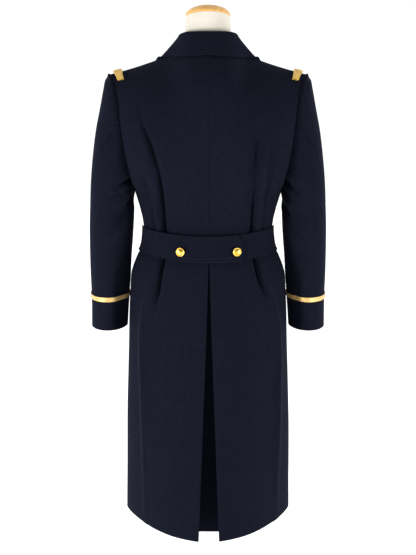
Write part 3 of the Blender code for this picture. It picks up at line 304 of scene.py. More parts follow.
def armhole(side, share):
    """Armhole edge of one side, from the armpit to the shoulder point."""
    rows = np.asarray(ARMHOLE, float)
    depth = rows[:, 2] if side == BACK else rows[:, 3]
    return run(np.column_stack([rows[:, 1], depth, rows[:, 0]]), share)


def neckline(turn):
    """Neck seam, turn in degrees from the centre back round to the centre front."""
    turn = np.radians(np.atleast_1d(np.asarray(turn, float)))
    behind = turn <= math.pi / 2
    centre = np.where(behind[:, None], np.asarray(BACK_NECK), np.asarray(FRONT_NECK))
    along = np.abs(np.cos(turn))[:, None]
    point = np.asarray(NECK_POINT) * (1.0 - along) + centre * along
    point[:, 0] = NECK_POINT[0] * np.sin(turn)
    return point


def shoulder_edge(side, u):
    """Top edge of a patch: half of the neckline, then the shoulder seam."""
    u = np.asarray(u, float)
    turn = np.clip(u / NECK_SHARE, 0.0, 1.0) * 90.0
    neck = neckline(turn if side == BACK else 180.0 - turn)
    share = np.clip((u - NECK_SHARE) / (1.0 - NECK_SHARE), 0.0, 1.0)[:, None]
    seam = np.asarray(NECK_POINT) * (1.0 - share) + np.asarray(SHOULDER_POINT) * share
    seam[:, 2] -= SHOULDER_SAG * np.sin(math.pi * share[:, 0])
    return np.where((u < NECK_SHARE)[:, None], neck, seam)


def patch_rows(side, u, shares):
    """The shoulder patch between armpit ring, armhole, shoulder edge and centre line."""
    _, half_width, back_depth, back_round, front_depth, front_round = BODY_RINGS[-1]
    depth, roundness = (back_depth, back_round) if side == BACK else (front_depth, front_round)
    x, y = ring(half_width, depth, roundness, side, u)
    base = np.column_stack([x, y, np.full(len(u), ARMPIT)])
    top = shoulder_edge(side, u)
    centre_table = np.asarray(BACK_CENTRE if side == BACK else FRONT_CENTRE)
    centre_points = np.column_stack([np.zeros(len(centre_table)), centre_table])
    corners = [patch_corner(side, which) for which in ("base centre", "base side", "top centre", "top side")]
    out = (u * u * (1.5 - 0.5 * u))[:, None]
    rows = []
    for share in shares:
        centre = run(centre_points, share)
        edge = armhole(side, share)
        high = np.asarray((share, share ** CHEST_ROUNDNESS, 1.0 - (1.0 - share) ** SHOULDER_ROUNDNESS))
        low = 1.0 - high
        centre_flat, side_flat = low * corners[0] + high * corners[2], low * corners[1] + high * corners[3]
        flat = (1 - out) * centre_flat + out * side_flat
        rows.append(low * base + high * top + (1 - out) * centre + out * edge - flat)
    return rows


def patch_corner(side, which):
    """Corner of the shoulder patch."""
    _, half_width, back_depth, _, front_depth, _ = BODY_RINGS[-1]
    depth = back_depth if side == BACK else front_depth
    return np.asarray({
        "base centre": (0.0, side * depth, ARMPIT),
        "base side": (half_width, 0.0, ARMPIT),
        "top centre": BACK_NECK if side == BACK else FRONT_NECK,
        "top side": SHOULDER_POINT,
    }[which])


PATCH_SHARES = (0.14, 0.28, 0.42, 0.56, 0.70, 0.82, 0.92, 1.0)
BODY_KNOTS = np.asarray([row[0] for row in BODY_RINGS] + [ARMPIT + SHOULDER_RUN * s for s in PATCH_SHARES])


def body(side, u, v):
    """Points of the smooth coat surface.  u runs from the centre (0) to the side seam or armhole
    (1 or -1); v is the height up to the armpit and then runs on over the shoulder to TOP."""
    u, v = np.broadcast_arrays(np.atleast_1d(np.asarray(u, float)), np.asarray(v, float))
    shape = u.shape
    u, v = u.ravel(), v.ravel()
    away = np.abs(u)
    rows = []
    for height, half_width, back_depth, back_round, front_depth, front_round in BODY_RINGS:
        depth, roundness = (back_depth, back_round) if side == BACK else (front_depth, front_round)
        x, y = ring(half_width, depth, roundness, side, away)
        rows.append(np.column_stack([x, y, np.full(len(u), height)]))
    rows = np.stack(rows + patch_rows(side, away, PATCH_SHARES))
    points = hermite(BODY_KNOTS, rows, slopes_through(BODY_KNOTS, rows), v)
    kept = side * np.maximum(side * points[:, 1], SEAM_FLARE * (1.0 - away))
    points[:, 1] = np.where((v <= ARMPIT) & (away > 0.9), kept, points[:, 1])
    points[:, 0] *= np.where(u < 0, -1.0, 1.0)
    return points.reshape(shape + (3,))


def normals(side, u, v):
    """Outward normals of the smooth coat surface."""
    u, v = np.broadcast_arrays(np.atleast_1d(np.asarray(u, float)), np.asarray(v, float))
    step_u, step_v = 0.004, 0.002
    across = body(side, np.clip(u + step_u, -1, 1), v) - body(side, np.clip(u - step_u, -1, 1), v)
    low, high = np.clip(v - step_v, BODY_KNOTS[0], TOP), np.clip(v + step_v, BODY_KNOTS[0], TOP)
    along = body(side, u, high) - body(side, u, low)
    found = np.cross(across, along)
    if side == FRONT:
        found = -found
    return found / np.linalg.norm(found, axis=-1, keepdims=True)


def fold_height(folds, x, z):
    """How far the folds of a table lift the cloth at distance x and height z."""
    total = np.zeros_like(x)
    for side, heights, distances, lift, width, (low_0, low_1), (high_0, high_1) in folds:
        middle = side * np.interp(z, heights, distances)
        fade = smooth(low_0, low_1, z) * (1.0 - smooth(high_0, high_1, z))
        total += lift * fade * np.exp(-(((x - middle) / width) ** 2))
    return total


def lapped_height(x, z):
    """How far the left front lies above the right front and the right lapel."""
    edge = roll_line(z)
    over = smooth(edge - 0.082, edge - 0.007, x)
    height = LAP_LIFT + LAPEL_LIFT * smooth(1.07, 1.13, z)
    return over * height * (1.0 - smooth(1.285, 1.345, z))


def cloth(side, u, v, lift=0.0, folds=True):
    """Coat surface with its folds, moved out by lift."""
    points = body(side, u, v)
    out = normals(side, u, v)
    height = np.asarray(lift, float) + np.zeros(points.shape[:-1])
    if folds:
        table = BACK_FOLDS if side == BACK else FRONT_FOLDS
        height = height + fold_height(table, points[..., 0], points[..., 2])
    return points + out * height[..., None]


SKINS = {}


def skin(side):
    """Fine mesh of the smooth surface of one side, to find points on it."""
    if side not in SKINS:
        u, v = np.meshgrid(np.linspace(-1.0, 1.0, 141), np.linspace(BODY_KNOTS[0], TOP, 221))
        points = body(side, u, v).reshape(-1, 3)
        row, column = np.meshgrid(np.arange(220), np.arange(140), indexing="ij")
        first = (row * 141 + column).ravel()
        quads = np.column_stack([first, first + 1, first + 142, first + 141])
        if side == FRONT:
            quads = quads[:, ::-1]
        SKINS[side] = BVHTree.FromPolygons(points.tolist(), quads.tolist())
    return SKINS[side]


def surface_at(side, x, z):
    """Point of the surface at distance x and height z, and its outward normal."""
    point, out, _, _ = skin(side).ray_cast(Vector((x, side * 0.6, z)), Vector((0.0, -side, 0.0)))
    return np.asarray(point), np.asarray(out)


def clear_of_body(point, lift, seated=False):
    """Move a point out until it is lift clear of the surface, or set it at exactly that height."""
    found = min((skin(side).find_nearest(Vector(point)) for side in (BACK, FRONT)), key=lambda hit: hit[3])
    base, out, distance = np.asarray(found[0]), np.asarray(found[1]), found[3]
    inside = np.dot(point - base, out) < 0.0 and distance < WALL * 4
    if seated or inside or distance < lift:
        return base + out * lift
    return np.asarray(point, float)


# ---------------------------------------------------------------- cloth meshes
RIPPLE = 0.0007               # height of the cloth's slow unevenness
RIPPLE_LENGTH = 0.11          # and the distance over which it changes
SEAM_ROLL = 0.0011            # how far a sewn edge turns in
SEAM_ROLL_WIDTH = 0.0034
SOFT_EDGE = 0.0007            # width of a cloth edge's rounding
RIM_ANGLE = 72                # edges sharper than this are rims, in degrees
WELD = 0.00002                # points closer than this are one
EDGE_STITCH = 0.0065          # distance of the edge stitching from an edge


def grid_normals(points):
    """Unit normals of a grid of points, from its own rows and columns."""
    down = np.gradient(points, axis=0)
    across = np.gradient(points, axis=1)
    found = np.cross(across, down)
    return found / np.maximum(np.linalg.norm(found, axis=-1, keepdims=True), 1e-12)


def outward_normals(points, side):
    """Grid normals that point out of the body, on the back or on the front."""
    out = grid_normals(points)
    middle = out[out.shape[0] // 2, out.shape[1] // 2]
    return out if middle[1] * side > 0 else -out


def unevenness(points, seed):
    """Slow random height of each point, the same on each run."""
    flat = points.reshape(-1, 3) / RIPPLE_LENGTH
    heights = [noise.noise(Vector((x + seed, y, z * 0.55))) for x, y, z in flat]
    return np.asarray(heights).reshape(points.shape[:-1]) * RIPPLE * 2


def edge_distance(points, edge):
    """Distance of each point of a grid from one of its edges: first, last, low or high."""
    axis = 1 if edge in ("first", "last") else 0
    steps = np.linalg.norm(np.diff(points, axis=axis), axis=-1)
    start = np.zeros_like(points[..., 0]).take([0], axis=axis)
    length = np.concatenate([start, np.cumsum(steps, axis=axis)], axis=axis)
    if edge in ("last", "high"):
        length = length.take([-1], axis=axis) - length
    return length


def roll_edges(points, out, edges, depth=SEAM_ROLL, width=SEAM_ROLL_WIDTH):
    """Turn the named edges of a grid inward, as a pressed seam does."""
    height = np.zeros(points.shape[:-1])
    for edge in edges:
        near = 1.0 - np.clip(edge_distance(points, edge) / width, 0.0, 1.0)
        height = np.minimum(height, -depth * near * near)
    return points + out * height[..., None]


def between(knots, step, ends=()):
    """Finer values between knots, no more than step apart, plus some close to both ends."""
    values = []
    for low, high in zip(knots, knots[1:]):
        count = max(1, int(math.ceil((high - low) / step)))
        values += [low + (high - low) * i / count for i in range(count)]
    values.append(knots[-1])
    extra = [knots[0] + e for e in ends] + [knots[-1] - e for e in ends]
    return np.asarray(sorted(set(np.round(values + extra, 6))))


def mesh_piece(name, data, finish, replaces=()):
    """Finish one visible piece: its material, the body that it rides on and what it stands for."""
    made = bpy.data.objects.new(name, data)
    bpy.context.scene.collection.objects.link(made)
    data.materials.append(finish)
    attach(made, "root")
    if replaces:
        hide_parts(*replaces)
    return made


def join_rows(mesh, points, closed=False, flip=False):
    """Add a grid of points to a mesh, with a face in each of its cells."""
    rows = [[mesh.verts.new(point) for point in row] for row in points]
    columns = len(rows[0])
    for lower, upper in zip(rows, rows[1:]):
        for here in range(columns if closed else columns - 1):
            after = (here + 1) % columns
            quad = (lower[here], lower[after], upper[after], upper[here])
            mesh.faces.new(quad[::-1] if flip else quad)
    return rows


def finished_mesh(name, mesh, sharp=None):
    """Turn the work mesh into a named one, smooth but for edges sharper than the given degrees."""
    data = bpy.data.meshes.new(name)
    mesh.to_mesh(data)
    mesh.free()
    data.shade_smooth()
    if sharp:
        data.set_sharp_from_angle(angle=math.radians(sharp))
    return data


def shell(name, grids, wall=WALL, flip=False, closed=False, outward=False, bevel=SOFT_EDGE, even=True):
    """Mesh of a cloth shell: open grids, welded, given a wall with softened edges."""
    mesh = bmesh.new()
    for points in grids:
        join_rows(mesh, np.asarray(points).tolist(), closed, flip)
    bmesh.ops.remove_doubles(mesh, verts=mesh.verts, dist=WELD)
    data = finished_mesh(name, mesh)
    holder = bpy.data.objects.new(name + "_flat", data)
    bpy.context.scene.collection.objects.link(holder)
    solid = holder.modifiers.new("wall", "SOLIDIFY")
    solid.thickness = wall
    solid.offset = 1.0 if outward else -1.0
    solid.use_even_offset = even
    soft = holder.modifiers.new("edge", "BEVEL")
    soft.limit_method = "ANGLE"
    soft.angle_limit = math.radians(RIM_ANGLE)
    soft.width = bevel
    soft.segments = 2
    soft.use_clamp_overlap = True
    applied = bpy.data.meshes.new_from_object(holder.evaluated_get(bpy.context.evaluated_depsgraph_get()))
    applied.name = name
    applied.shade_smooth()
    bpy.data.objects.remove(holder, do_unlink=True)
    return applied


STITCH_PITCH = 0.0034
STITCH_LENGTH = 0.0023
STITCH_RADIUS = 0.00035


def stitches(name, path, outs, finish):
    """A row of short threads along a line on the cloth, sunk by half."""
    path, outs = np.asarray(path, float), np.asarray(outs, float)
    steps = np.concatenate([[0.0], np.cumsum(np.linalg.norm(np.diff(path, axis=0), axis=1))])
    count = int(steps[-1] / STITCH_PITCH)
    at = np.arange(count) * STITCH_PITCH + STITCH_PITCH / 2
    verts, faces = [], []
    for middle in at:
        ends = [np.asarray([np.interp(middle + s * STITCH_LENGTH / 2, steps, path[:, k]) for k in range(3)])
                for s in (-1, 1)]
        out = np.asarray([np.interp(middle, steps, outs[:, k]) for k in range(3)])
        out /= np.linalg.norm(out)
        along = (ends[1] - ends[0]) / max(np.linalg.norm(ends[1] - ends[0]), 1e-9)
        across = np.cross(out, along)
        first = len(verts)
        for share, size in ((-0.5, 0.35), (-0.3, 1.0), (0.3, 1.0), (0.5, 0.35)):
            centre = (ends[0] + ends[1]) / 2 + along * STITCH_LENGTH * share
            for a, b in ((1, 0), (0, 1), (-1, 0), (0, -1)):
                verts.append(centre + (across * a + out * (b + 0.2)) * STITCH_RADIUS * size)
        for ring in range(3):
            for k in range(4):
                low, high = first + ring * 4, first + ring * 4 + 4
                faces.append((low + k, low + (k + 1) % 4, high + (k + 1) % 4, high + k))
        faces += [(first + 3, first + 2, first + 1, first), tuple(range(first + 12, first + 16))]
    data = bpy.data.meshes.new(name)
    data.from_pydata([tuple(v) for v in verts], [], faces)
    data.shade_smooth()
    return mesh_piece(name, data, finish)


# ---------------------------------------------------------------- finishes
def linear(colour):
    """sRGB hex to the linear colour that a shader takes."""
    parts = [int(colour[i:i + 2], 16) / 255 for i in (1, 3, 5)]
    return tuple(c / 12.92 if c <= 0.04045 else ((c + 0.055) / 1.055) ** 2.4 for c in parts) + (1.0,)


def add(tree, kind, settings=(), links=()):
    """Add a node with its settings, and link its inputs from other nodes' outputs."""
    made = tree.nodes.new(kind)
    for name, value in dict(settings).items():
        if name in made.inputs and not hasattr(type(made), name):
            made.inputs[name].default_value = value
        else:
            setattr(made, name, value)
    for name, (source, output) in dict(links).items():
        tree.links.new(source.outputs[output], made.inputs[name])
    return made


def ramp(tree, stops, source, output="Fac"):
    """Colours or greys at places along a value."""
    made = add(tree, "ShaderNodeValToRGB", (), {"Fac": (source, output)})
    made.color_ramp.elements[0].position, made.color_ramp.elements[0].color = stops[0]
    made.color_ramp.elements[1].position, made.color_ramp.elements[1].color = stops[-1]
    for place, colour in stops[1:-1]:
        made.color_ramp.elements.new(place).color = colour
    return made


def per_metre(millimetres):
    """Texture scale whose features are that many millimetres apart."""
    return 1000.0 / millimetres


def bands(millimetres):
    """Wave texture scale whose bands are that many millimetres apart: at 1 they lie pi / 10 apart."""
    return per_metre(millimetres) * math.pi / 10


def new_material(name, **values):
    """A material with its shader's plain values set."""
    made = bpy.data.materials.new(name)
    made.use_nodes = True
    surface = made.node_tree.nodes["Principled BSDF"]
    for key, value in values.items():
        surface.inputs[key.replace("_", " ")].default_value = value
    return made, made.node_tree, surface


def milled_wool(name, dark, light):
    """Melton: woollen cloth milled and napped until the weave is closed.  It gives the eye a deep, dry
    navy with no gloss and a faint bloom of raised fibre.  Its colour paints soft cloudy shade where the nap
    turns, darker in the hollows of the nap's bumps and lighter on their tops, over tone that varies at
    random."""
    made, tree, surface = new_material(name, Roughness=0.95, Sheen_Weight=0.06, Sheen_Roughness=0.40,
                                       Sheen_Tint=linear("#8f97bd"), Specular_IOR_Level=0.02)
    place = add(tree, "ShaderNodeTexCoord")
    cloud = add(tree, "ShaderNodeTexNoise", {"Scale": per_metre(7), "Detail": 3.0, "Roughness": 0.6},
                {"Vector": (place, "Object")})
    # nap tufts are about 0.7 mm across; drawn at 2.4 mm so that they show
    nap = add(tree, "ShaderNodeTexNoise", {"Scale": per_metre(2.4), "Detail": 3.0, "Roughness": 0.7},
              {"Vector": (place, "Object")})
    both = add(tree, "ShaderNodeMix", {"data_type": "FLOAT", "Factor": 0.6},
               {"A": (cloud, "Fac"), "B": (nap, "Fac")})
    # painted shade and light: the noises that raise the bumps also darken their hollows and lighten their
    # tops, over random mottling
    shade = ramp(tree, [(0.38, linear(dark)), (0.62, linear(light))], both, "Result")
    tree.links.new(shade.outputs["Color"], surface.inputs["Base Color"])
    fuzz = add(tree, "ShaderNodeBump", {"Strength": 0.35, "Distance": 0.0006}, {"Height": (nap, "Fac")})
    soft = add(tree, "ShaderNodeBump", {"Strength": 0.10, "Distance": 0.003},
               {"Height": (cloud, "Fac"), "Normal": (fuzz, "Normal")})
    tree.links.new(soft.outputs["Normal"], surface.inputs["Normal"])
    return made


def wool_thread(name, colour):
    """Waxed linen sewing thread, a shade lighter than the cloth and a little glossier."""
    made, _, _ = new_material(name, Base_Color=linear(colour), Roughness=0.6, Specular_IOR_Level=0.2)
    return made


def metal_braid(name, bright, shade):
    """Gold lace: flat wire woven round silk cores.  It gives the eye a bright yellow ribbed band."""
    made, tree, surface = new_material(name, Roughness=0.42, Metallic=0.35, Sheen_Weight=0.1)
    place = add(tree, "ShaderNodeTexCoord")
    # wires are 0.5 mm apart; drawn at 2 mm
    ribs = add(tree, "ShaderNodeTexWave", {"Scale": bands(2.0), "Distortion": 1.5, "Detail": 1.0,
                                           "bands_direction": "DIAGONAL"}, {"Vector": (place, "Object")})
    # painted shade between the ribs and painted highlight on them: a lit and a shaded copy of one gold, over
    # the woven bands
    colours = ramp(tree, [(0.15, linear(shade)), (0.7, linear(bright))], ribs, "Fac")
    tree.links.new(colours.outputs["Color"], surface.inputs["Base Color"])
    bump = add(tree, "ShaderNodeBump", {"Strength": 0.5, "Distance": 0.0004}, {"Height": (ribs, "Fac")})
    tree.links.new(bump.outputs["Normal"], surface.inputs["Normal"])
    return made


def bullion_wire(name, bright, shade):
    """Bullion: springy coils of gilt wire couched over padding.  Its colour paints glints and shade in fine
    cross ribs.
    """
    made, tree, surface = new_material(name, Roughness=0.34, Metallic=0.45)
    place = add(tree, "ShaderNodeTexCoord")
    # coils are 0.4 mm apart; drawn at 2.5 mm
    coils = add(tree, "ShaderNodeTexWave", {"Scale": bands(2.5), "Distortion": 2.0,
                                            "bands_direction": "X"}, {"Vector": (place, "Object")})
    # painted glints: random spots of the lit gold
    painted_glint = add(tree, "ShaderNodeTexNoise", {"Scale": per_metre(5.0), "Detail": 1.0},
                {"Vector": (place, "Object")})
    both = add(tree, "ShaderNodeMix", {"data_type": "FLOAT", "Factor": 0.6},
               {"A": (coils, "Fac"), "B": (painted_glint, "Fac")})
    # painted shade between the coils and painted glints on them, from a lit and a shaded copy of one gold
    colours = ramp(tree, [(0.2, linear(shade)), (0.65, linear(bright))], both, "Result")
    tree.links.new(colours.outputs["Color"], surface.inputs["Base Color"])
    bump = add(tree, "ShaderNodeBump", {"Strength": 0.6, "Distance": 0.0005}, {"Height": (coils, "Fac")})
    tree.links.new(bump.outputs["Normal"], surface.inputs["Normal"])
    return made


def gilt_brass(name, bright, worn):
    """Stamped brass, fire-gilt and lacquered: warm mirror-like gold, a little duller on the high places."""
    made, tree, surface = new_material(name, Metallic=1.0, Roughness=0.24)
    place = add(tree, "ShaderNodeTexCoord")
    rub = add(tree, "ShaderNodeTexNoise", {"Scale": per_metre(6.0), "Detail": 3.0},
              {"Vector": (place, "Object")})
    colours = ramp(tree, [(0.35, linear(worn)), (0.6, linear(bright))], rub, "Fac")
    tree.links.new(colours.outputs["Color"], surface.inputs["Base Color"])
    rough = add(tree, "ShaderNodeMapRange", {"To Min": 0.18, "To Max": 0.36}, {"Value": (rub, "Fac")})
    tree.links.new(rough.outputs["Result"], surface.inputs["Roughness"])
    return made


def jersey_cover(name, colour, shade):
    """Cotton jersey stretched over a padded form: matt cream with a very fine knitted grain."""
    made, tree, surface = new_material(name, Roughness=0.85, Specular_IOR_Level=0.25)
    place = add(tree, "ShaderNodeTexCoord")
    # stitches are 0.9 mm wide; drawn at 1.8 mm
    knit = add(tree, "ShaderNodeTexWave", {"Scale": bands(1.8), "Distortion": 0.8},
               {"Vector": (place, "Object")})
    stain = add(tree, "ShaderNodeTexNoise", {"Scale": per_metre(60), "Detail": 2.0},
                {"Vector": (place, "Object")})
    colours = ramp(tree, [(0.3, linear(shade)), (0.6, linear(colour))], stain, "Fac")
    tree.links.new(colours.outputs["Color"], surface.inputs["Base Color"])
    bump = add(tree, "ShaderNodeBump", {"Strength": 0.12, "Distance": 0.0004}, {"Height": (knit, "Fac")})
    tree.links.new(bump.outputs["Normal"], surface.inputs["Normal"])
    return made


def varnished_beech(name, light, dark):
    """Turned beech under satin varnish: honey colour with fine darker grain lines."""
    made, tree, surface = new_material(name, Roughness=0.45, Coat_Weight=0.1, Coat_Roughness=0.3)
    place = add(tree, "ShaderNodeTexCoord")
    stretch = add(tree, "ShaderNodeMapping", {"Scale": (1.0, 7.0, 7.0)}, {"Vector": (place, "Object")})
    # growth rings are 1 to 2 mm apart; drawn at 5 mm
    grain = add(tree, "ShaderNodeTexNoise", {"Scale": per_metre(35), "Detail": 5.0, "Roughness": 0.6},
                {"Vector": (stretch, "Vector")})
    colours = ramp(tree, [(0.35, linear(dark)), (0.62, linear(light))], grain, "Fac")
    tree.links.new(colours.outputs["Color"], surface.inputs["Base Color"])
    bump = add(tree, "ShaderNodeBump", {"Strength": 0.08, "Distance": 0.0005}, {"Height": (grain, "Fac")})
    tree.links.new(bump.outputs["Normal"], surface.inputs["Normal"])
    return made


def powder_coat(name, colour):
    """Steel powder-coated white: satin with a faint orange-peel texture."""
    made, tree, surface = new_material(name, Base_Color=linear(colour), Roughness=0.4)
    place = add(tree, "ShaderNodeTexCoord")
    peel = add(tree, "ShaderNodeTexNoise", {"Scale": per_metre(2.5), "Detail": 1.0},
               {"Vector": (place, "Object")})
    bump = add(tree, "ShaderNodeBump", {"Strength": 0.08, "Distance": 0.0004}, {"Height": (peel, "Fac")})
    tree.links.new(bump.outputs["Normal"], surface.inputs["Normal"])
    return made


def painted_floor(name, colour):
    """Matt white painted board: even, with a trace of roller texture."""
    made, tree, surface = new_material(name, Base_Color=linear(colour), Roughness=0.9, Specular_IOR_Level=0.1,
                                       Emission_Color=linear(colour), Emission_Strength=0.45)
    place = add(tree, "ShaderNodeTexCoord")
    roller = add(tree, "ShaderNodeTexNoise", {"Scale": per_metre(4), "Detail": 2.0},
                 {"Vector": (place, "Object")})
    bump = add(tree, "ShaderNodeBump", {"Strength": 0.03, "Distance": 0.0005}, {"Height": (roller, "Fac")})
    tree.links.new(bump.outputs["Normal"], surface.inputs["Normal"])
    return made


FINISHES = {}


def finish(kind):
    """The named finish, made once; the cloth, thread and gold colours come from the sidebar."""
    if kind not in FINISHES:
        cloth_set, trim_set = bpy.context.scene.greatcoat_cloth, bpy.context.scene.greatcoat_trim
        FINISHES[kind] = {
            "wool": lambda: milled_wool("milled wool, napped", cloth_set.dark, cloth_set.light),
            "thread": lambda: wool_thread("linen thread, waxed", cloth_set.thread),
            "braid": lambda: metal_braid("gold lace, woven", trim_set.braid, trim_set.braid_shade),
            "bullion": lambda: bullion_wire("bullion wire, couched", trim_set.bullion,
                                            trim_set.bullion_shade),
            "gilt": lambda: gilt_brass("brass, gilt", trim_set.gilt, trim_set.gilt_worn),
            "jersey": lambda: jersey_cover("cotton jersey, stretched", "#dad3c7", "#d2cbbd"),
            "beech": lambda: varnished_beech("beech, varnished", "#e6b365", "#cc9847"),
            "steel": lambda: powder_coat("steel, powder-coated", "#f4f4f2"),
        }[kind]()
    return FINISHES[kind]


# ---------------------------------------------------------------- the back
SIDE_SET = 0.0003             # a panel ends this share of its width short of the side seam
MEET = 0.00004                # half the gap between sewn edges, which the turned cloth closes
# the sharp crease of each back panel, which its columns follow: height and distance from the centre
CREASE_LINES = {
    LEFT: ((0.270, 0.134), (0.560, 0.134), (0.700, 0.134), (0.775, 0.1290), (0.816, 0.1217), (0.886, 0.1120),
           (0.918, 0.1051), (0.980, 0.1038), (1.056, 0.1068), (1.122, 0.1124), (1.161, 0.1258),
           (1.218, 0.1440),
           (1.263, 0.1559), (1.330, 0.1600), (1.400, 0.1600)),
    RIGHT: ((0.270, 0.140), (0.560, 0.142), (0.760, 0.142), (0.814, 0.1362), (0.840, 0.1296), (0.876, 0.1192),
            (0.915, 0.1117), (0.980, 0.1048), (1.056, 0.1075), (1.096, 0.1106), (1.134, 0.1146),
            (1.202, 0.1141),
            (1.263, 0.1200), (1.330, 0.1300), (1.400, 0.1350)),
}
# how the cloth stands beside that crease: lift, distance past it, half width, and its fades below and above
CREASE_SHAPES = {
    LEFT: ((-0.0050, 0.0, 0.0019, (0.960, 0.976), (1.070, 1.160)),
           (-0.0010, 0.0, 0.0045, (0.960, 0.976), (1.080, 1.260)),
           (-0.0060, 0.0008, 0.0066, (1.105, 1.185), (1.190, 1.290)),
           (0.0055, 0.0088, 0.0054, (0.981, 0.998), (1.150, 1.270)),
           (0.0026, -0.0060, 0.0034, (0.981, 0.998), (1.090, 1.180)),
           (-0.0060, 0.0, 0.0019, (0.800, 0.860), (0.925, 0.936)),
           (-0.0010, 0.0, 0.0045, (0.770, 0.850), (0.925, 0.936)),
           (0.0050, 0.0098, 0.0058, (0.770, 0.850), (0.898, 0.918)),
           (0.0018, -0.0062, 0.0038, (0.820, 0.870), (0.898, 0.918))),
    RIGHT: ((-0.0050, 0.0, 0.0019, (0.960, 0.976), (1.050, 1.140)),
            (-0.0014, 0.0, 0.0052, (0.960, 0.976), (1.120, 1.215)),
            (-0.0055, 0.0010, 0.0074, (1.085, 1.160), (1.170, 1.250)),
            (0.0052, 0.0092, 0.0055, (0.981, 0.998), (1.130, 1.240)),
            (0.0024, -0.0063, 0.0036, (0.981, 0.998), (1.070, 1.150)),
            (-0.0060, 0.0, 0.0019, (0.825, 0.870), (0.925, 0.936)),
            (-0.0010, 0.0, 0.0045, (0.790, 0.850), (0.925, 0.936)),
            (0.0050, 0.0098, 0.0058, (0.780, 0.850), (0.898, 0.918)),
            (0.0018, -0.0062, 0.0038, (0.835, 0.870), (0.898, 0.918))),
}
# smaller creases of the back, in the columns of the folds
BACK_CREASES = (
    (LEFT, (0.9898, 1.061, 1.1421), (0.1270, 0.1403, 0.1518), -0.0035, 0.0028, (0.970, 0.985), (1.07, 1.16)),
    (LEFT, (0.9898, 1.061, 1.1421), (0.1325, 0.1455, 0.1575), 0.0025, 0.0035, (0.985, 1.005), (1.06, 1.15)),
    (RIGHT, (0.9869, 1.0709, 1.1143, 1.2469), (0.1315, 0.1376, 0.1454, 0.1652), -0.0030, 0.0030,
     (0.970, 0.985), (1.10, 1.23)),
    (RIGHT, (0.9869, 1.0709, 1.1143, 1.2469), (0.1370, 0.1430, 0.1510, 0.1710), 0.0022, 0.0035,
     (0.985, 1.005), (1.10, 1.23)),
    (LEFT, (0.288, 0.675, 0.740, 0.783, 0.861), (0.1500, 0.1536, 0.1532, 0.1500, 0.1313), 0.0060, 0.0066,
     (0.150, 0.560), (0.840, 0.880)),
    (RIGHT, (0.288, 0.678, 0.769, 0.824, 0.872), (0.1640, 0.1659, 0.1614, 0.1486, 0.1337), 0.0058, 0.0064,
     (0.150, 0.560), (0.850, 0.890)),
)
# the belt presses the cloth in: depth, distance below its edge, half width
UNDER_BELT = (0.0022, 0.0020, 0.0034)
CREASE_NEAR = (0.0010, 0.0020, 0.0031, 0.0042, 0.0055, 0.0070, 0.0088, 0.0110, 0.0135, 0.0165, 0.0200, 0.0240,
               0.0285, 0.0335, 0.0390, 0.0450, 0.0515, 0.0585, 0.0660, 0.0740, 0.0830, 0.0930, 0.1040, 0.1160)
NECK_PASSES = 40              # times that the cloth below the neck point is smoothed


def hem_height(u):
    return HEM_BACK + (HEM_SIDE - HEM_BACK) * smooth(0.15, 0.95, np.abs(u))


def pleat_share(z):
    """0 where the pleat opens and 1 at the hem."""
    return np.clip((PLEAT_TOP - np.asarray(z, float)) / (PLEAT_TOP - HEM_BACK), 0.0, 1.0)


def pleat_half(z):
    return SEAM / 2 + (PLEAT_HALF_HEM - SEAM / 2) * pleat_share(z) ** 1.12


def return_half(z):
    return RETURN_TOP + (RETURN_HEM - RETURN_TOP) * pleat_share(z)


def return_depth(z):
    """Depth of the right side of the pleat's inner end."""
    places = zip(return_half(z), z)
    behind = np.asarray([surface_at(BACK, float(x), float(height))[0][1] for x, height in places])
    return behind + UNDERLAY_SET_TOP + (UNDERLAY_SET_HEM - UNDERLAY_SET_TOP) * pleat_share(z)


def centre_edge(z):
    return np.where(z < PLEAT_TOP + 0.001, pleat_half(z) + PLEAT_ROLL, MEET)


def from_centre_edge(side, u, heights):
    depth = np.interp(heights, [row[0] for row in BODY_RINGS], [row[2] for row in BODY_RINGS])
    start = np.arctan((centre_edge(heights) + side * CENTRE_SEAM_X) / depth) / (math.pi / 2)
    return side * (start + (1.0 - start) * np.abs(u))


def short_of_shoulder(u):
    return 0.0005 + 0.0004 * (1.0 - np.abs(u))


def crease_share(side, heights):
    """Where the sharp crease crosses each row of a panel, as a share of the panel's width."""
    options = np.linspace(0.30, 0.92, 96)
    levels = np.broadcast_to(heights[:, None], (len(heights), len(options)))
    u = from_centre_edge(side, np.broadcast_to(options, levels.shape), levels)
    points = body(BACK, u, levels)
    wanted = np.interp(points[..., 2], *zip(*CREASE_LINES[side]))
    beyond = np.abs(points[..., 0]) - wanted
    return np.asarray([np.interp(0.0, row, options) for row in beyond])


def creased_cloth(side, u, v):
    """Back surface with the folds, the sharp crease of its side, the smaller creases and the belt's press."""
    points = body(BACK, u, v)
    x, z = points[..., 0], points[..., 2]
    past = side * x - np.interp(z, *zip(*CREASE_LINES[side]))
    height = fold_height(BACK_CREASES, x, z)
    for lift, offset, width, (low_0, low_1), (high_0, high_1) in CREASE_SHAPES[side]:
        fade = smooth(low_0, low_1, z) * (1.0 - smooth(high_0, high_1, z))
        height = height + lift * fade * np.exp(-(((past - offset) / width) ** 2))
    below = z - (belt_middle(x) - BELT_HALF_HEIGHT - UNDER_BELT[1])
    pressed = np.exp(-((below / UNDER_BELT[2]) ** 2)) * smooth(0.006, 0.012, np.abs(past))
    return cloth(BACK, u, v, height - UNDER_BELT[0] * pressed)


def panel_rows(side, heights):
    """Columns of a back panel, close together beside its crease and at its edges."""
    middle = crease_share(side, heights)
    near = np.asarray([-step for step in CREASE_NEAR[::-1]] + [0.0] + list(CREASE_NEAR))
    inner = between((0.0, 1.0), 0.034, (0.006, 0.0135, 0.022))[:-1]
    outer = between((0.0, 1.0), 0.066, (0.012, 0.027, 0.045))[1:]
    start, stop = middle[:, None] + near[0], middle[:, None] + near[-1]
    last = 1.0 - SIDE_SET
    return np.concatenate([inner * start, middle[:, None] + near, stop + (last - stop) * outer], axis=1)


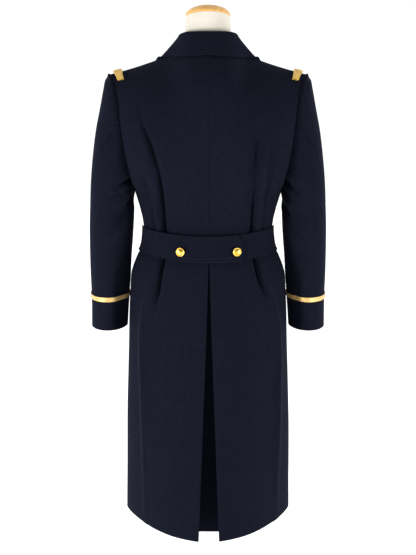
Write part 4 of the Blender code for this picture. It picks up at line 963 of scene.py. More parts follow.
def eased_neck(points, columns, levels):
    """Spread the bend below the neck point over the cloth beside it."""
    weight = (smooth(0.12, 0.20, columns) * (1.0 - smooth(0.35, 0.42, columns)))[:, 1:-1]
    fade = smooth(1.21, 1.29, levels) * (1.0 - smooth(TOP - 0.016, TOP - 0.004, levels))
    weight = (weight * fade[:, None])[..., None]
    for _ in range(NECK_PASSES):
        middle = (points[:, :-2] + points[:, 2:]) / 2
        points[:, 1:-1] += (middle - points[:, 1:-1]) * weight * 0.5
    return points


def back_grids(side):
    """Skirt with its turned pleat edge, and bodice, of one back panel."""
    low = between((0.0, 1.0), 0.0085)
    columns = panel_rows(side, HEM_BACK + (PLEAT_TOP - HEM_BACK) * low)
    heights = hem_height(columns) + (PLEAT_TOP - hem_height(columns)) * low[:, None]
    u = from_centre_edge(side, columns, heights)
    skirt = creased_cloth(side, u, heights)
    out = outward_normals(skirt, BACK)
    skirt = skirt + out * unevenness(skirt, 3.0)[..., None]
    skirt = roll_edges(skirt, out, ("last",))
    levels = between((PLEAT_TOP, 1.02, 1.25, TOP), 0.0055)
    columns = panel_rows(side, levels)
    heights = levels[:, None] + np.zeros(columns.shape)
    heights[-1] -= short_of_shoulder(columns[-1])
    u = from_centre_edge(side, columns, heights)
    bodice = creased_cloth(side, u, heights)
    bodice = eased_neck(bodice, columns, levels)
    out = outward_normals(bodice, BACK)
    bodice = bodice + out * unevenness(bodice, 3.0)[..., None]
    rolled = roll_edges(bodice, out, ("first", "last", "high"))
    fade = smooth(PLEAT_TOP, PLEAT_TOP + 0.012, heights)[..., None]
    bodice = bodice + (rolled - bodice) * fade
    bodice[0] = skirt[-1]
    lower = []
    for row in skirt:
        edge, z = row[0], row[0][2]
        half = side * edge[0] - PLEAT_ROLL
        arc = []
        for angle in np.radians(np.arange(22.5, 181.0, 22.5)):
            x, y = half + PLEAT_ROLL * (1.0 - math.sin(angle)), edge[1] + PLEAT_ROLL * (1.0 - math.cos(angle))
            arc.append(np.asarray((side * x, y, z)))
        end = np.asarray((side * return_half(z), return_depth([z])[0], z))
        hidden = [arc[-1] + (end - arc[-1]) * share for share in (1.0, 0.85, 0.7, 0.5, 0.3, 0.12)]
        lower.append(hidden + arc[::-1] + list(row))
    return np.asarray(lower), bodice


class GREATCOAT_OT_back(bpy.types.Operator):
    """Build the two back panels with the deep inverted pleat and its underlay"""

    bl_idname = "greatcoat.back"
    bl_label = "Back and pleat"

    def execute(self, context):
        for side, word in ((LEFT, "left"), (RIGHT, "right")):
            data = shell(f"wool_back_{word}", back_grids(side), context.scene.greatcoat_cloth.wall,
                         flip=side == LEFT)
            panel = mesh_piece(f"wool_back_{word}", data, finish("wool"), [f"back_{word}"])
        heights = between((HEM_BACK + 0.0015, PLEAT_TOP - 0.004), 0.010)
        half, depth = return_half(heights) + 0.001, return_depth(heights) + SEAM + 0.0002
        rows = []
        for z, wide, back in zip(heights, half, depth):
            bow = UNDERLAY_BOW * pleat_share(z)
            rows.append([(wide * a, back + bow * (1.0 - a * a), z) for a in np.linspace(-1.0, 1.0, 19)])
        data = shell("wool_pleat_underlay", [rows], context.scene.greatcoat_cloth.wall)
        under = mesh_piece("wool_pleat_underlay", data, finish("wool"), ["pleat_underlay"])
        return {"FINISHED"}


# ---------------------------------------------------------------- the fronts
def roll_line(z):
    """Distance of the front's inner edge from the centre; negative past the centre."""
    return np.interp(z, (BREAK_Z, LAPEL_TOP[1]), (-LAP, LAPEL_TOP[0]))


def inner_edge(v):
    """The u at which a front's inner edge crosses the row v."""
    options = np.linspace(-0.6, 0.4, 401)
    points = body(FRONT, options, np.full(len(options), v))
    beyond = points[:, 0] - roll_line(points[:, 2])
    if beyond[0] > 0:
        return float(options[0])
    place = min(int(np.searchsorted(beyond > 0, True)), len(options) - 1)
    low, high = beyond[place - 1], beyond[place]
    return float(options[place - 1] + (options[place] - options[place - 1]) * (-low) / (high - low))


def front_grid(side):
    heights = between((HEM_SIDE, 1.05, BREAK_Z, TOP), 0.009)
    shares = between((0.0, 0.2, 1.0), 0.012, (0.0025, 0.0055, 0.009))
    rows = []
    for v in heights:
        start = inner_edge(v)
        u = start + (1.0 - SIDE_SET - start) * shares
        up = np.full(len(u), v)
        if v == TOP:
            up = up - short_of_shoulder(u)
        u = u * side
        points = body(FRONT, u, up)
        lift = lapped_height(points[:, 0], points[:, 2]) if side == LEFT else 0.0
        rows.append(cloth(FRONT, u, up, lift))
    grid = np.asarray(rows)
    out = outward_normals(grid, FRONT)
    grid = grid + out * (unevenness(grid, 9.0) * 0.5)[..., None]
    return roll_edges(grid, out, ("last", "high"))


class GREATCOAT_OT_fronts(bpy.types.Operator):
    """Build the double-breasted fronts, the left one over the right"""

    bl_idname = "greatcoat.fronts"
    bl_label = "Fronts"

    def execute(self, context):
        for side, word in ((LEFT, "left"), (RIGHT, "right")):
            grid = front_grid(side)
            data = shell(f"wool_front_{word}", [grid], context.scene.greatcoat_cloth.wall, flip=side == RIGHT)
            panel = mesh_piece(f"wool_front_{word}", data, finish("wool"), [f"front_{word}"])
            out = outward_normals(grid, FRONT)
            near = edge_distance(grid, "first")
            line, outs = [], []
            for row, normals_here, away in zip(grid, out, near):
                if row[0][2] > BREAK_Z:
                    break
                line.append([np.interp(EDGE_STITCH, away, row[:, k]) for k in range(3)])
                outs.append(normals_here[3])
            thread = stitches(f"front_stitching_{word}", line, outs, finish("thread"))
        return {"FINISHED"}


def on_front(side, x, z, lift):
    """Point of a front at distance x towards its own side, and its outward normal."""
    point, out = surface_at(FRONT, side * x, z)
    over = lapped_height(side * x, z) if side == LEFT else 0.0
    height = fold_height(FRONT_FOLDS, np.asarray(side * x), np.asarray(z))
    return point + out * float(lift + over + height), out


LAPEL_START = 0.04            # share of the roll line where the lapel's cloth starts to show
LAPEL_STOP = 0.975            # it ends just short of the neck seam
LAPEL_SET = 0.0005            # between the lapel and the front's edge
LAPEL_HEEL = 0.006            # width of the lapel where it starts
LAPEL_BELLY = 0.85            # how early its outer edge swings out
LAPEL_RISE = 1.2              # and how late it rises


def lapel_grid(side):
    rows = []
    for share in np.linspace(LAPEL_START, 1.0, 34):
        z = BREAK_Z + (LAPEL_TOP[1] - BREAK_Z) * share * LAPEL_STOP
        x = float(roll_line(z)) + LAPEL_SET
        reach = LAPEL_TIP[0] + LAP - LAPEL_HEEL
        tip_x = LAPEL_HEEL - LAP + reach * math.sin(share * math.pi / 2) ** LAPEL_BELLY
        tip_z = BREAK_Z + (LAPEL_TIP[1] - BREAK_Z) * share ** LAPEL_RISE
        row = []
        for across in np.linspace(0.0, 1.0, 22):
            here_x, here_z = x + (tip_x - x) * across, z + (tip_z - z) * across
            covered = smooth(0.026, 0.006, roll_line(here_z) + here_x) if side == RIGHT else 0.0
            roll = LAPEL_ROLL * (1.0 - across) ** 2 * (1.0 - float(covered)) * smooth(0.05, 0.4, share)
            row.append(on_front(side, here_x, here_z, LAPEL_EASE + float(roll))[0])
        rows.append(row)
    return np.asarray(rows)


class GREATCOAT_OT_lapels(bpy.types.Operator):
    """Build the turned lapels"""

    bl_idname = "greatcoat.lapels"
    bl_label = "Lapels"

    def execute(self, context):
        for side, word in ((LEFT, "left"), (RIGHT, "right")):
            grid = lapel_grid(side)
            wall = context.scene.greatcoat_cloth.wall
            data = shell(f"wool_lapel_{word}", [grid], wall, flip=side == RIGHT, outward=True)
            panel = mesh_piece(f"wool_lapel_{word}", data, finish("wool"), [f"lapel_{word}"])
            out = outward_normals(grid, FRONT)
            away = edge_distance(grid, "last")
            line, outs = [], []
            for row, normals_here, reach in zip(grid, out, away):
                if reach[0] < EDGE_STITCH * 1.5:
                    continue
                spot = [np.interp(EDGE_STITCH, reach[::-1], row[::-1, k]) for k in range(3)]
                line.append(spot + normals_here[-2] * wall)
                outs.append(normals_here[-2])
            thread = stitches(f"lapel_stitching_{word}", line, outs, finish("thread"))
        return {"FINISHED"}


# ---------------------------------------------------------------- collar
COLLAR_TURN = 0.0045          # outer radius of the collar's fold
COLLAR_EASE = 0.0010          # between the fall and the shoulders
COLLAR_RIDGE = 0.0012         # more where it passes over the shoulder seam
COLLAR_SWELL = (0.0030, 0.0003)  # how far the fall bows out at the centre back and at the sides
COLLAR_FOOT = (0.0022, 0.0019)  # how far inside and above the neck seam the stand ends
# the turns round the neck at which its section is worked out, in degrees
COLLAR_TURNS = (0, 12, 24, 36, 48, 60, 70, 78, 84, 90, 97, 107, 118, 131, 145)
COLLAR_GROOVE = (0.0006, 0.0012)  # depth and half width of the groove under its stitching
COLLAR_COLUMNS = 131
COLLAR_PASSES = 60            # times that the sections are smoothed round the neck


def collar_section(table, turn):
    """Points of the collar from the edge of its fall over the fold and down to the foot of its stand."""
    values = curve(table, turn)[0]
    values[[0, 3]] += CENTRE_SEAM_X * (1.0 - smooth(40.0, 100.0, abs(turn)))
    fold, edge = values[:3], values[3:]
    foot = neckline(abs(turn))[0]
    foot[0] *= math.copysign(1.0, turn)
    away = np.asarray((edge[0] - fold[0], edge[1] - fold[1], 0.0))
    if abs(turn) < 1.0:
        away = np.asarray((0.0, -1.0, 0.0))
    away /= np.linalg.norm(away)
    up = np.asarray((0.0, 0.0, 1.0))
    foot = foot - away * COLLAR_FOOT[0] + up * COLLAR_FOOT[1]
    ridge = COLLAR_RIDGE * (1.0 - smooth(0.010, 0.040, abs(edge[1] + 0.004)))
    ease = COLLAR_EASE + COLLAR_WALL + float(ridge)
    edge = clear_of_body(edge, ease, seated=True)
    outer, inner = fold + away * COLLAR_TURN, fold - away * COLLAR_TURN
    bow = COLLAR_SWELL[0] + (COLLAR_SWELL[1] - COLLAR_SWELL[0]) * float(smooth(40.0, 75.0, abs(turn)))
    length = np.linalg.norm(outer - edge)
    section = []
    near_edge = np.linspace(0.0, 1.9, 11) * EDGE_STITCH / length
    for share in np.concatenate([near_edge, np.linspace(0.30, 0.94, 11)]):
        swell = math.sin(math.pi * share) * bow
        point = edge + (outer - edge) * share + (away * 0.5 + up * 0.85) * swell
        point = clear_of_body(point, ease) if share > 0 else point
        groove = COLLAR_GROOVE[0] * math.exp(-(((share * length - EDGE_STITCH) / COLLAR_GROOVE[1]) ** 2))
        section.append(point - (away * 0.6 + up * 0.8) * groove)
    for angle in np.radians(np.linspace(0.0, 180.0, 11)):
        section.append(fold + away * COLLAR_TURN * math.cos(angle) + up * COLLAR_TURN * math.sin(angle))
    return section + [inner + (foot - inner) * share for share in (0.25, 0.5, 0.75, 1.0)]


def collar_grid():
    table = np.asarray([(turn, *fold, *edge) for turn, fold, edge in COLLAR_STATIONS])
    mirrored = table[:0:-1].copy()
    mirrored[:, (0, 1, 4)] *= -1
    table = np.concatenate([mirrored, table])
    turns = [-turn for turn in COLLAR_TURNS[:0:-1]] + list(COLLAR_TURNS)
    sections = np.asarray([[turn, *np.ravel(collar_section(table, turn))] for turn in turns])
    columns = np.linspace(turns[0], turns[-1], COLLAR_COLUMNS)
    grid = curve(sections, columns).reshape(COLLAR_COLUMNS, -1, 3)
    weight = np.zeros(grid.shape[1])
    weight[1:-4] = 1.0 - np.abs(np.linspace(-1.0, 1.0, grid.shape[1] - 5)) ** 6
    for _ in range(COLLAR_PASSES):
        grid[1:-1] += ((grid[:-2] + grid[2:]) / 2 - grid[1:-1]) * (0.5 * weight[:, None])
    return grid


class GREATCOAT_OT_collar(bpy.types.Operator):
    """Build the wide turned-down collar with its edge stitching"""

    bl_idname = "greatcoat.collar"
    bl_label = "Collar"

    def execute(self, context):
        grid = collar_grid()
        data = shell("wool_collar", [grid], COLLAR_WALL, flip=True, bevel=0.0010, even=False)
        piece = mesh_piece("wool_collar", data, finish("wool"), ["collar"])
        out = grid_normals(grid)
        if out[len(grid) // 2][4][1] > 0:
            out = -out
        away = edge_distance(grid, "first")
        line = [[np.interp(EDGE_STITCH, reach, row[:, k]) for k in range(3)] for row,
                reach in zip(grid, away)]
        thread = stitches("collar_stitching", line[1:-1], out[1:-1, 5], finish("thread"))
        return {"FINISHED"}


# ---------------------------------------------------------------- sleeves
RING_BLEND = (1.0, 0.75, 0.40, 0.15, 0.0)  # how much of the armhole's bend each of the first rings keeps
SLEEVE_RADIUS = 0.060         # a mean one, to turn the seam gap into degrees
STRIPE_RING = 12.12           # middle of the braid on the sleeve
STRIPE_HALF = 0.118           # half its width in rings, 10 mm in all


def sleeve_rings(degrees):
    """Points of every sleeve ring at the given angles, 0 outer, 90 back, 180 inner, 270 front."""
    turn = np.radians(degrees)
    rings = []
    for inner_x, inner_z, outer_x, outer_z, back_y, front_y, rise in SLEEVE_RINGS:
        x = (inner_x + outer_x) / 2 + (outer_x - inner_x) / 2 * np.cos(turn)
        z = (inner_z + outer_z) / 2 + (outer_z - inner_z) / 2 * np.cos(turn)
        middle, half = (back_y + front_y) / 2, (front_y - back_y) / 2
        y = middle - half * np.sin(turn)
        rings.append(np.column_stack([x, y, z + rise * (y - middle)]))
    wrapped = np.mod(degrees, 360.0)
    behind = wrapped <= 180.0
    share = np.where(behind, 1.0 - wrapped / 180.0, (wrapped - 180.0) / 180.0)
    edge = np.where(behind[:, None], armhole(BACK, share), armhole(FRONT, share))
    bend = edge - rings[0]
    for number, amount in enumerate(RING_BLEND):
        rings[number] = rings[number] + bend * amount
    return np.stack(rings)


# creases across a sleeve's back, fading towards their last point: side, points, lift and half width
SLEEVE_LINES = (
    (LEFT, ((0.176, 1.100), (0.199, 1.091), (0.221, 1.076)), -0.0140, 0.0046),
    (LEFT, ((0.184, 1.118), (0.207, 1.108), (0.224, 1.094)), 0.0045, 0.0085),
    (LEFT, ((0.178, 1.056), (0.199, 1.019), (0.219, 0.983), (0.241, 0.930)), -0.0100, 0.0075),
    (LEFT, ((0.190, 1.056), (0.213, 1.022), (0.233, 0.986), (0.248, 0.945)), 0.0045, 0.0095),
    (LEFT, ((0.206, 1.070), (0.225, 1.062), (0.250, 1.054)), -0.0045, 0.0055),
    (LEFT, ((0.209, 0.760), (0.206, 0.930)), -0.0055, 0.0120),
    (RIGHT, ((0.176, 1.098), (0.195, 1.080), (0.217, 1.069)), -0.0130, 0.0050),
    (RIGHT, ((0.190, 1.110), (0.210, 1.100), (0.228, 1.088)), 0.0040, 0.0085),
    (RIGHT, ((0.178, 1.034), (0.208, 0.977), (0.238, 0.918)), -0.0095, 0.0078),
    (RIGHT, ((0.194, 1.030), (0.221, 0.980), (0.244, 0.934)), 0.0045, 0.0095),
    (RIGHT, ((0.178, 1.073), (0.193, 1.053), (0.221, 1.042)), -0.0070, 0.0052),
    (RIGHT, ((0.210, 0.760), (0.207, 0.930)), -0.0052, 0.0120),
)
# the sleeve head's outer corner is rounded: depth, ring and the half widths in rings and degrees
SLEEVE_CORNER = (0.0065, 1.05, 0.38, 45.0)
FRONT_CREASE_DROP = 0.018     # the front of a sleeve has the same creases a little lower


def sleeve_crease_height(side, points):
    """How far the drawn creases lift or sink the sleeve at each point."""
    total = np.zeros(len(points))
    for own, line, lift, width in SLEEVE_LINES:
        if own != side:
            continue
        for turned, drop in ((BACK, 0.0), (FRONT, FRONT_CREASE_DROP)):
            place = np.column_stack([points[:, 0], points[:, 2] + drop])
            nearest, left = np.full(len(points), 1.0), np.ones(len(points))
            count = len(line) - 1
            for number, (start, end) in enumerate(zip(np.asarray(line)[:-1], np.asarray(line)[1:])):
                along = np.clip((place - start) @ (end - start) / np.dot(end - start, end - start), 0.0, 1.0)
                gap = np.linalg.norm(place - start - along[:, None] * (end - start), axis=1)
                left = np.where(gap < nearest, 1.0 - (number + along) / count, left)
                nearest = np.minimum(nearest, gap)
            shape = np.exp(-((nearest / width) ** 2)) * left ** 0.7
            total += lift * smooth(-0.005, 0.035, turned * points[:, 1]) * shape
    return total


def sleeve_points(side, rings, degrees, lift=0.0):
    """Sleeve surface at ring numbers and angles of the same shape, for the wearer's side."""
    shape = np.shape(degrees)
    at, degrees = np.ravel(rings).astype(float), np.ravel(degrees).astype(float)

    def surface(at, degrees):
        rows = sleeve_rings(degrees)
        knots = np.arange(len(SLEEVE_RINGS), dtype=float)
        return hermite(knots, rows, slopes_through(knots, rows), at)

    points = surface(at, degrees)
    around = surface(at, degrees + 1.0) - surface(at, degrees - 1.0)
    down = surface(np.clip(at + 0.05, 0, 14), degrees) - surface(np.clip(at - 0.05, 0, 14), degrees)
    out = np.cross(around, down)
    out /= np.linalg.norm(out, axis=1, keepdims=True)
    height = np.full(len(at), float(lift))
    for ring_number, angle, rise, ring_width, angle_width in SLEEVE_CREASES:
        gap = np.mod(degrees - angle + 180.0, 360.0) - 180.0
        height += rise * np.exp(-(((at - ring_number) / ring_width) ** 2) - (gap / angle_width) ** 2)
    height += sleeve_crease_height(side, points)
    points = points + out * height[:, None]
    gap = np.mod(degrees + 180.0, 360.0) - 180.0
    depth, ring_number, ring_width, angle_width = SLEEVE_CORNER
    corner = depth * np.exp(-(((at - ring_number) / ring_width) ** 2) - (gap / angle_width) ** 2)
    points = points - corner[:, None] * np.asarray((0.45, 0.0, 1.0))
    points[:, 0] *= side
    out[:, 0] *= side
    return points.reshape(shape + (3,)), out.reshape(shape + (3,))


def sleeve_columns(rings, front):
    """Angles of the columns of one sleeve piece, between its two seams."""
    hind = np.interp(rings, *zip(*HIND_SEAM))
    fore = np.interp(rings, *zip(*FORE_SEAM))
    gap = math.degrees(SEAM / SLEEVE_RADIUS)
    low, high = (fore - 360.0 + gap, hind - gap) if front else (hind + gap, fore - gap)
    shares = between((0.0, 1.0), 0.016, (0.005, 0.010))
    return low[:, None] + (high - low)[:, None] * shares


SLEEVE_ROLL = 0.0008
ALLOWANCE = 0.0065            # the sleeve's turned-in edge reaches this far behind the panels


def sleeve_grid(side, front):
    rings = between((0.02, 0.6, 2.0, 6.0, 9.5, 14.0), 0.085, (0.05, 0.10))[:-2]
    degrees = sleeve_columns(rings, front)
    points, out = sleeve_points(side, np.broadcast_to(rings[:, None], degrees.shape), degrees)
    points = points + out * (unevenness(points, 17.0 * side) * 0.8)[..., None]
    points = roll_edges(points, out, ("first", "last", "low"), SLEEVE_ROLL)
    inside = points[0] - out[0] * ALLOWANCE * 0.6 - np.asarray((side * ALLOWANCE, 0.0, 0.0))
    return np.concatenate([inside[None], points])


class GREATCOAT_OT_sleeves(bpy.types.Operator):
    """Build the two-piece set-in sleeves"""

    bl_idname = "greatcoat.sleeves"
    bl_label = "Sleeves"

    def execute(self, context):
        for side, word in ((LEFT, "left"), (RIGHT, "right")):
            for front, part in ((True, "front"), (False, "back")):
                name = f"sleeve_{part}_{word}"
                wall = context.scene.greatcoat_cloth.wall
                data = shell("wool_" + name, [sleeve_grid(side, front)], wall, flip=side == LEFT)
                piece = mesh_piece("wool_" + name, data, finish("wool"), [name])
        return {"FINISHED"}


class GREATCOAT_OT_cuff_stripes(bpy.types.Operator):
    """Build the gold lace stripe round each cuff"""

    bl_idname = "greatcoat.cuff_stripes"
    bl_label = "Cuff stripes"

    def execute(self, context):
        rings = STRIPE_RING + STRIPE_HALF * np.asarray((-1.0, -0.86, -0.6, -0.2, 0.2, 0.6, 0.86, 1.0))
        rib = np.asarray((0.0, 0.00025, 0.0, 0.0001, 0.0001, 0.0, 0.00025, 0.0))
        for side, word in ((LEFT, "left"), (RIGHT, "right")):
            degrees = np.concatenate([sleeve_columns(rings, True), sleeve_columns(rings, False)], axis=1)
            grid, out = sleeve_points(side, np.broadcast_to(rings[:, None], degrees.shape), degrees, EASE)
            grid = grid + out * rib[:, None, None]
            data = shell(f"lace_cuff_{word}", [grid], BRAID_WALL, flip=side == LEFT, closed=True,
                         outward=True,
                         bevel=0.0003)
            piece = mesh_piece(f"lace_cuff_{word}", data, finish("braid"),
                               [f"cuff_stripe_{word}"])
        return {"FINISHED"}


# ---------------------------------------------------------------- shoulder straps
STRAP_INNER = 0.872           # where the strap starts between centre and armhole
STRAP_OUTER = 0.972
STRAP_REACH = 0.0445          # how far it runs down from the shoulder seam on each side
STRAP_HEIGHT = 0.0060
STRAP_TAPER = (0.006, 0.028)  # how far its inner and outer edges turn in towards its ends


def strap_grid(side, lift):
    """Points over the shoulder end, from the back to the front, lifted off the cloth."""
    reaches = np.linspace(STRAP_REACH, 0.0015, 26)
    rows = []
    for half, order in ((BACK, reaches), (FRONT, reaches[::-1])):
        for reach in order:
            narrowed = reach / STRAP_REACH
            inner, outer = STRAP_INNER - STRAP_TAPER[0] * narrowed, STRAP_OUTER - STRAP_TAPER[1] * narrowed
            across = np.linspace(inner, outer, 25) * side
            v = np.full(len(across), TOP - reach)
            rows.append(body(half, across, v) + normals(half, across, v) * EASE * 1.5)
    grid = np.asarray(rows)
    out = grid_normals(grid)
    if out[len(grid) // 2, 12, 2] < 0:
        out = -out
    return grid + out * lift[..., None]


def strap_heights():
    """Bullion: a rounded pad, a cord round its border and coils side by side across it."""
    rows, columns = 52, 25
    along, across = np.meshgrid(np.linspace(-1, 1, rows), np.linspace(-1, 1, columns), indexing="ij")
    edge = np.minimum(1.0 - np.abs(along) ** 6, 1.0 - np.abs(across) ** 4)
    pad = STRAP_HEIGHT * (0.55 + 0.45 * np.sqrt(np.clip(edge, 0.0, 1.0)))
    border = np.maximum(np.abs(along), np.abs(across) * 0.99)
    cord = 0.0009 * np.exp(-(((border - 0.86) / 0.06) ** 2))
    coils = 0.0005 * np.sin(along * math.pi * 17) * (border < 0.76)
    return pad + cord + coils


class GREATCOAT_OT_shoulder_straps(bpy.types.Operator):
    """Build the bullion shoulder straps"""

    bl_idname = "greatcoat.shoulder_straps"
    bl_label = "Shoulder straps"

    def execute(self, context):
        for side, word in ((LEFT, "left"), (RIGHT, "right")):
            heights = strap_heights()
            top, base = strap_grid(side, heights), strap_grid(side, np.zeros_like(heights))
            mesh = bmesh.new()
            upper = [[mesh.verts.new(p) for p in row] for row in top.tolist()]
            lower = [[mesh.verts.new(p) for p in row] for row in base.tolist()]
            turned = side == LEFT

            def quad(*corners):
                mesh.faces.new(corners[::-1] if turned else corners)

            last_row, end = len(upper) - 1, len(upper[0]) - 1
            for i in range(last_row):
                for j in range(end):
                    quad(upper[i][j], upper[i][j + 1], upper[i + 1][j + 1], upper[i + 1][j])
                    quad(lower[i][j], lower[i + 1][j], lower[i + 1][j + 1], lower[i][j + 1])
                quad(lower[i][0], upper[i][0], upper[i + 1][0], lower[i + 1][0])
                quad(lower[i + 1][end], upper[i + 1][end], upper[i][end], lower[i][end])
            for j in range(end):
                quad(lower[0][j], lower[0][j + 1], upper[0][j + 1], upper[0][j])
                quad(upper[last_row][j], upper[last_row][j + 1], lower[last_row][j + 1], lower[last_row][j])
            bmesh.ops.recalc_face_normals(mesh, faces=mesh.faces)
            data = finished_mesh(f"bullion_strap_{word}", mesh, 50)
            piece = mesh_piece(data.name, data, finish("bullion"), [f"shoulder_strap_{word}"])
        return {"FINISHED"}


# ---------------------------------------------------------------- half belt
BELT_SIDE_X = 0.155           # distance of the belt's ends from the centre
TIP_ROUNDNESS = 0.96          # how nearly the tip of the belt is a full round
TIP_DEPTH = 0.085             # how far its corners are drawn back, in u
# the tip's edge stands up a little and the piece under it gives way: lift, distance past the edge, half width
TIP_SHAPE = {LEFT: (0.0009, -0.0034, 0.0022), RIGHT: (-0.0018, 0.0016, 0.0022)}
BELT_CROWN = 0.0007           # the belt is this much thicker along its middle
BELT_GROOVE = 0.0006          # and dips this much under its stitching
BELT_OVER = (-0.125, -0.090)  # between these the left piece climbs onto the right one's level


def belt_middle(x):
    return BELT_CENTRE_Z + BELT_SIDE_RISE * (np.abs(x) / BELT_SIDE_X) ** 2


def belt_grid(side):
    """Half of the belt; the left one laps over the right one and has a rounded tip."""
    columns = np.linspace(0.0, 0.92, 60)
    tip = float(np.interp(BELT_TIP, body(BACK, columns, BELT_CENTRE_Z)[:, 0], columns))
    own = np.linspace(0.0, BELT_END, 62)[1:]
    past = np.asarray((1.0, 0.995, 0.985, 0.97, 0.945, 0.91, 0.87, 0.82, 0.76, 0.69, 0.61, 0.52, 0.43, 0.34,
                       0.25,
                       0.17, 0.08, 0.0)) * tip
    if side == RIGHT:
        near = np.linspace(tip - TIP_DEPTH, tip + 0.05, 64)
        own = np.concatenate([own[own < near[0] - 0.004], near, own[own > near[-1] + 0.004]])
    reach = np.concatenate([-past, own])
    rows = []
    stitch = 1.0 - EDGE_STITCH / BELT_HALF_HEIGHT
    shares = sorted([*np.linspace(-1.0, 1.0, 41), -0.985, 0.985, stitch, -stitch])
    for share in shares:
        rounding = (1.0 - math.sqrt(1.0 - TIP_ROUNDNESS * share * share)) * TIP_DEPTH
        pulled = np.where(reach < 0.0, reach * (1.0 - rounding / tip), reach) if side == LEFT else reach
        u = side * pulled
        x = body(BACK, u, np.full(len(u), BELT_CENTRE_Z))[:, 0]
        z = belt_middle(x) + share * BELT_HALF_HEIGHT
        over = smooth(*BELT_OVER, x) if side == LEFT else np.zeros(len(x))
        groove = BELT_GROOVE * math.exp(-(((abs(share) - stitch) / 0.035) ** 2))
        crown = BELT_CROWN * (1.0 - share * share) - groove
        end = float(np.interp(tip - rounding, columns, body(BACK, columns, BELT_CENTRE_Z)[:, 0]))
        lift, offset, width = TIP_SHAPE[side]
        crown = crown + lift * np.exp(-(((x - end - offset) / width) ** 2))
        rows.append(cloth(BACK, u, z, BELT_EASE + (BELT_WALL + BELT_LAP) * over + crown, folds=False))
    return np.asarray(rows)


class GREATCOAT_OT_half_belt(bpy.types.Operator):
    """Build the two-piece half belt with its edge stitching"""

    bl_idname = "greatcoat.half_belt"
    bl_label = "Half belt"

    def execute(self, context):
        for side, word in ((LEFT, "left"), (RIGHT, "right")):
            grid = belt_grid(side)
            data = shell(f"wool_belt_{word}", [grid], BELT_WALL, flip=side == LEFT, outward=True,
                         bevel=0.0010)
            piece = mesh_piece(f"wool_belt_{word}", data, finish("wool"), [f"belt_{word}"])
            out = outward_normals(grid, BACK)
            rim = grid + out * BELT_WALL
            for place, label in ((6, "low"), (len(grid) - 7, "high")):
                line, outs = rim[place], out[place]
                if side == LEFT:
                    keep = slice(3, None)
                else:
                    keep = slice(1, None)
                stitches(f"belt_stitching_{word}_{label}", line[keep], outs[keep],
                                        finish("thread"))
        return {"FINISHED"}


# ---------------------------------------------------------------- buttons
# share of the radius and share of the height down a domed button's side
DOME = ((0.0, 1.0), (0.12, 0.996), (0.26, 0.975), (0.42, 0.925), (0.57, 0.85), (0.69, 0.76), (0.78, 0.65),
        (0.80, 0.58), (0.82, 0.55), (0.86, 0.58), (0.91, 0.60), (0.96, 0.56), (0.995, 0.47), (1.0, 0.38),
        (0.99, 0.28), (0.94, 0.15), (0.82, 0.04), (0.60, 0.0), (0.30, -0.02), (0.0, -0.02))
ROPE_TURNS = 26
ROPE_RELIEF = 0.035           # its relief, as a share of the button's height
ROPE_PLACE = (0.92, 0.05)     # its middle and half width, as shares of the radius
DROOP = 18.0                  # degrees the belt buttons hang forward on their shanks
DROOP_ROOM = 0.0001           # and how far that moves them out, for each degree


def turned_mesh(name, rings, top, foot):
    """Closed body from rings of points between a point on top and one below."""
    mesh = bmesh.new()
    rows = [[mesh.verts.new(point) for point in ring_points] for ring_points in rings]
    top, foot, steps = mesh.verts.new(top), mesh.verts.new(foot), len(rows[0])
    for step in range(steps):
        after = (step + 1) % steps
        mesh.faces.new((top, rows[0][step], rows[0][after]))
        mesh.faces.new((foot, rows[-1][after], rows[-1][step]))
        for upper, lower in zip(rows, rows[1:]):
            mesh.faces.new((upper[step], lower[step], lower[after], upper[after]))
    return finished_mesh(name, mesh)


def button_mesh(name):
    """Domed button with a twisted rope round its border and a low ring inside it."""
    steps = ROPE_TURNS * 6
    rings = []
    for share, height in DOME[1:-1]:
        ring_points = []
        for step in range(steps):
            turn = 2 * math.pi * step / steps
            border = math.exp(-(((share - ROPE_PLACE[0]) / ROPE_PLACE[1]) ** 2))
            rope = ROPE_RELIEF * math.sin(ROPE_TURNS * turn + (share - 0.9) * ROPE_TURNS) * border
            radius, up = share * BUTTON_RADIUS, (height + rope * (height > 0.4)) * BUTTON_HEIGHT
            ring_points.append((radius * math.cos(turn), radius * math.sin(turn), up))
        rings.append(ring_points)
    return turned_mesh(name, rings, (0.0, 0.0, DOME[0][1] * BUTTON_HEIGHT),
                       (0.0, 0.0, DOME[-1][1] * BUTTON_HEIGHT))


def place_button(name, point, out, ease, node, droop=0.0):
    data = button_mesh(name)
    face = Vector(out) - Vector((0.0, 0.0, math.tan(math.radians(droop))))
    data.transform(face.to_track_quat("Z", "Y").to_matrix().to_4x4())
    spot = Vector(point) + Vector(out) * (ease + DROOP_ROOM * droop)
    for vertex in data.vertices:
        vertex.co += spot
    return mesh_piece(name, data, finish("gilt"), [node])


class GREATCOAT_OT_buttons(bpy.types.Operator):
    """Build the belt buttons and the front buttons"""

    bl_idname = "greatcoat.buttons"
    bl_label = "Buttons"

    def execute(self, context):
        for x, word in zip(BELT_BUTTONS_X, ("left", "right")):
            point, out = surface_at(BACK, x, float(belt_middle(x)) - BELT_BUTTON_DROP)
            lift = BELT_EASE + 2 * BELT_WALL + BELT_LAP + BUTTON_EASE
            place_button(f"gilt_belt_button_{word}", point, out, lift, f"belt_button_{word}", DROOP)
        number = 0
        for z, ease in FRONT_BUTTON_ROWS:
            for column in (LEFT, RIGHT):
                number += 1
                point, out = on_front(LEFT, -column * FRONT_BUTTON_X, z, 0.0)
                place_button(f"gilt_front_button_{number}", point, out, ease, f"front_button_{number}")
        return {"FINISHED"}


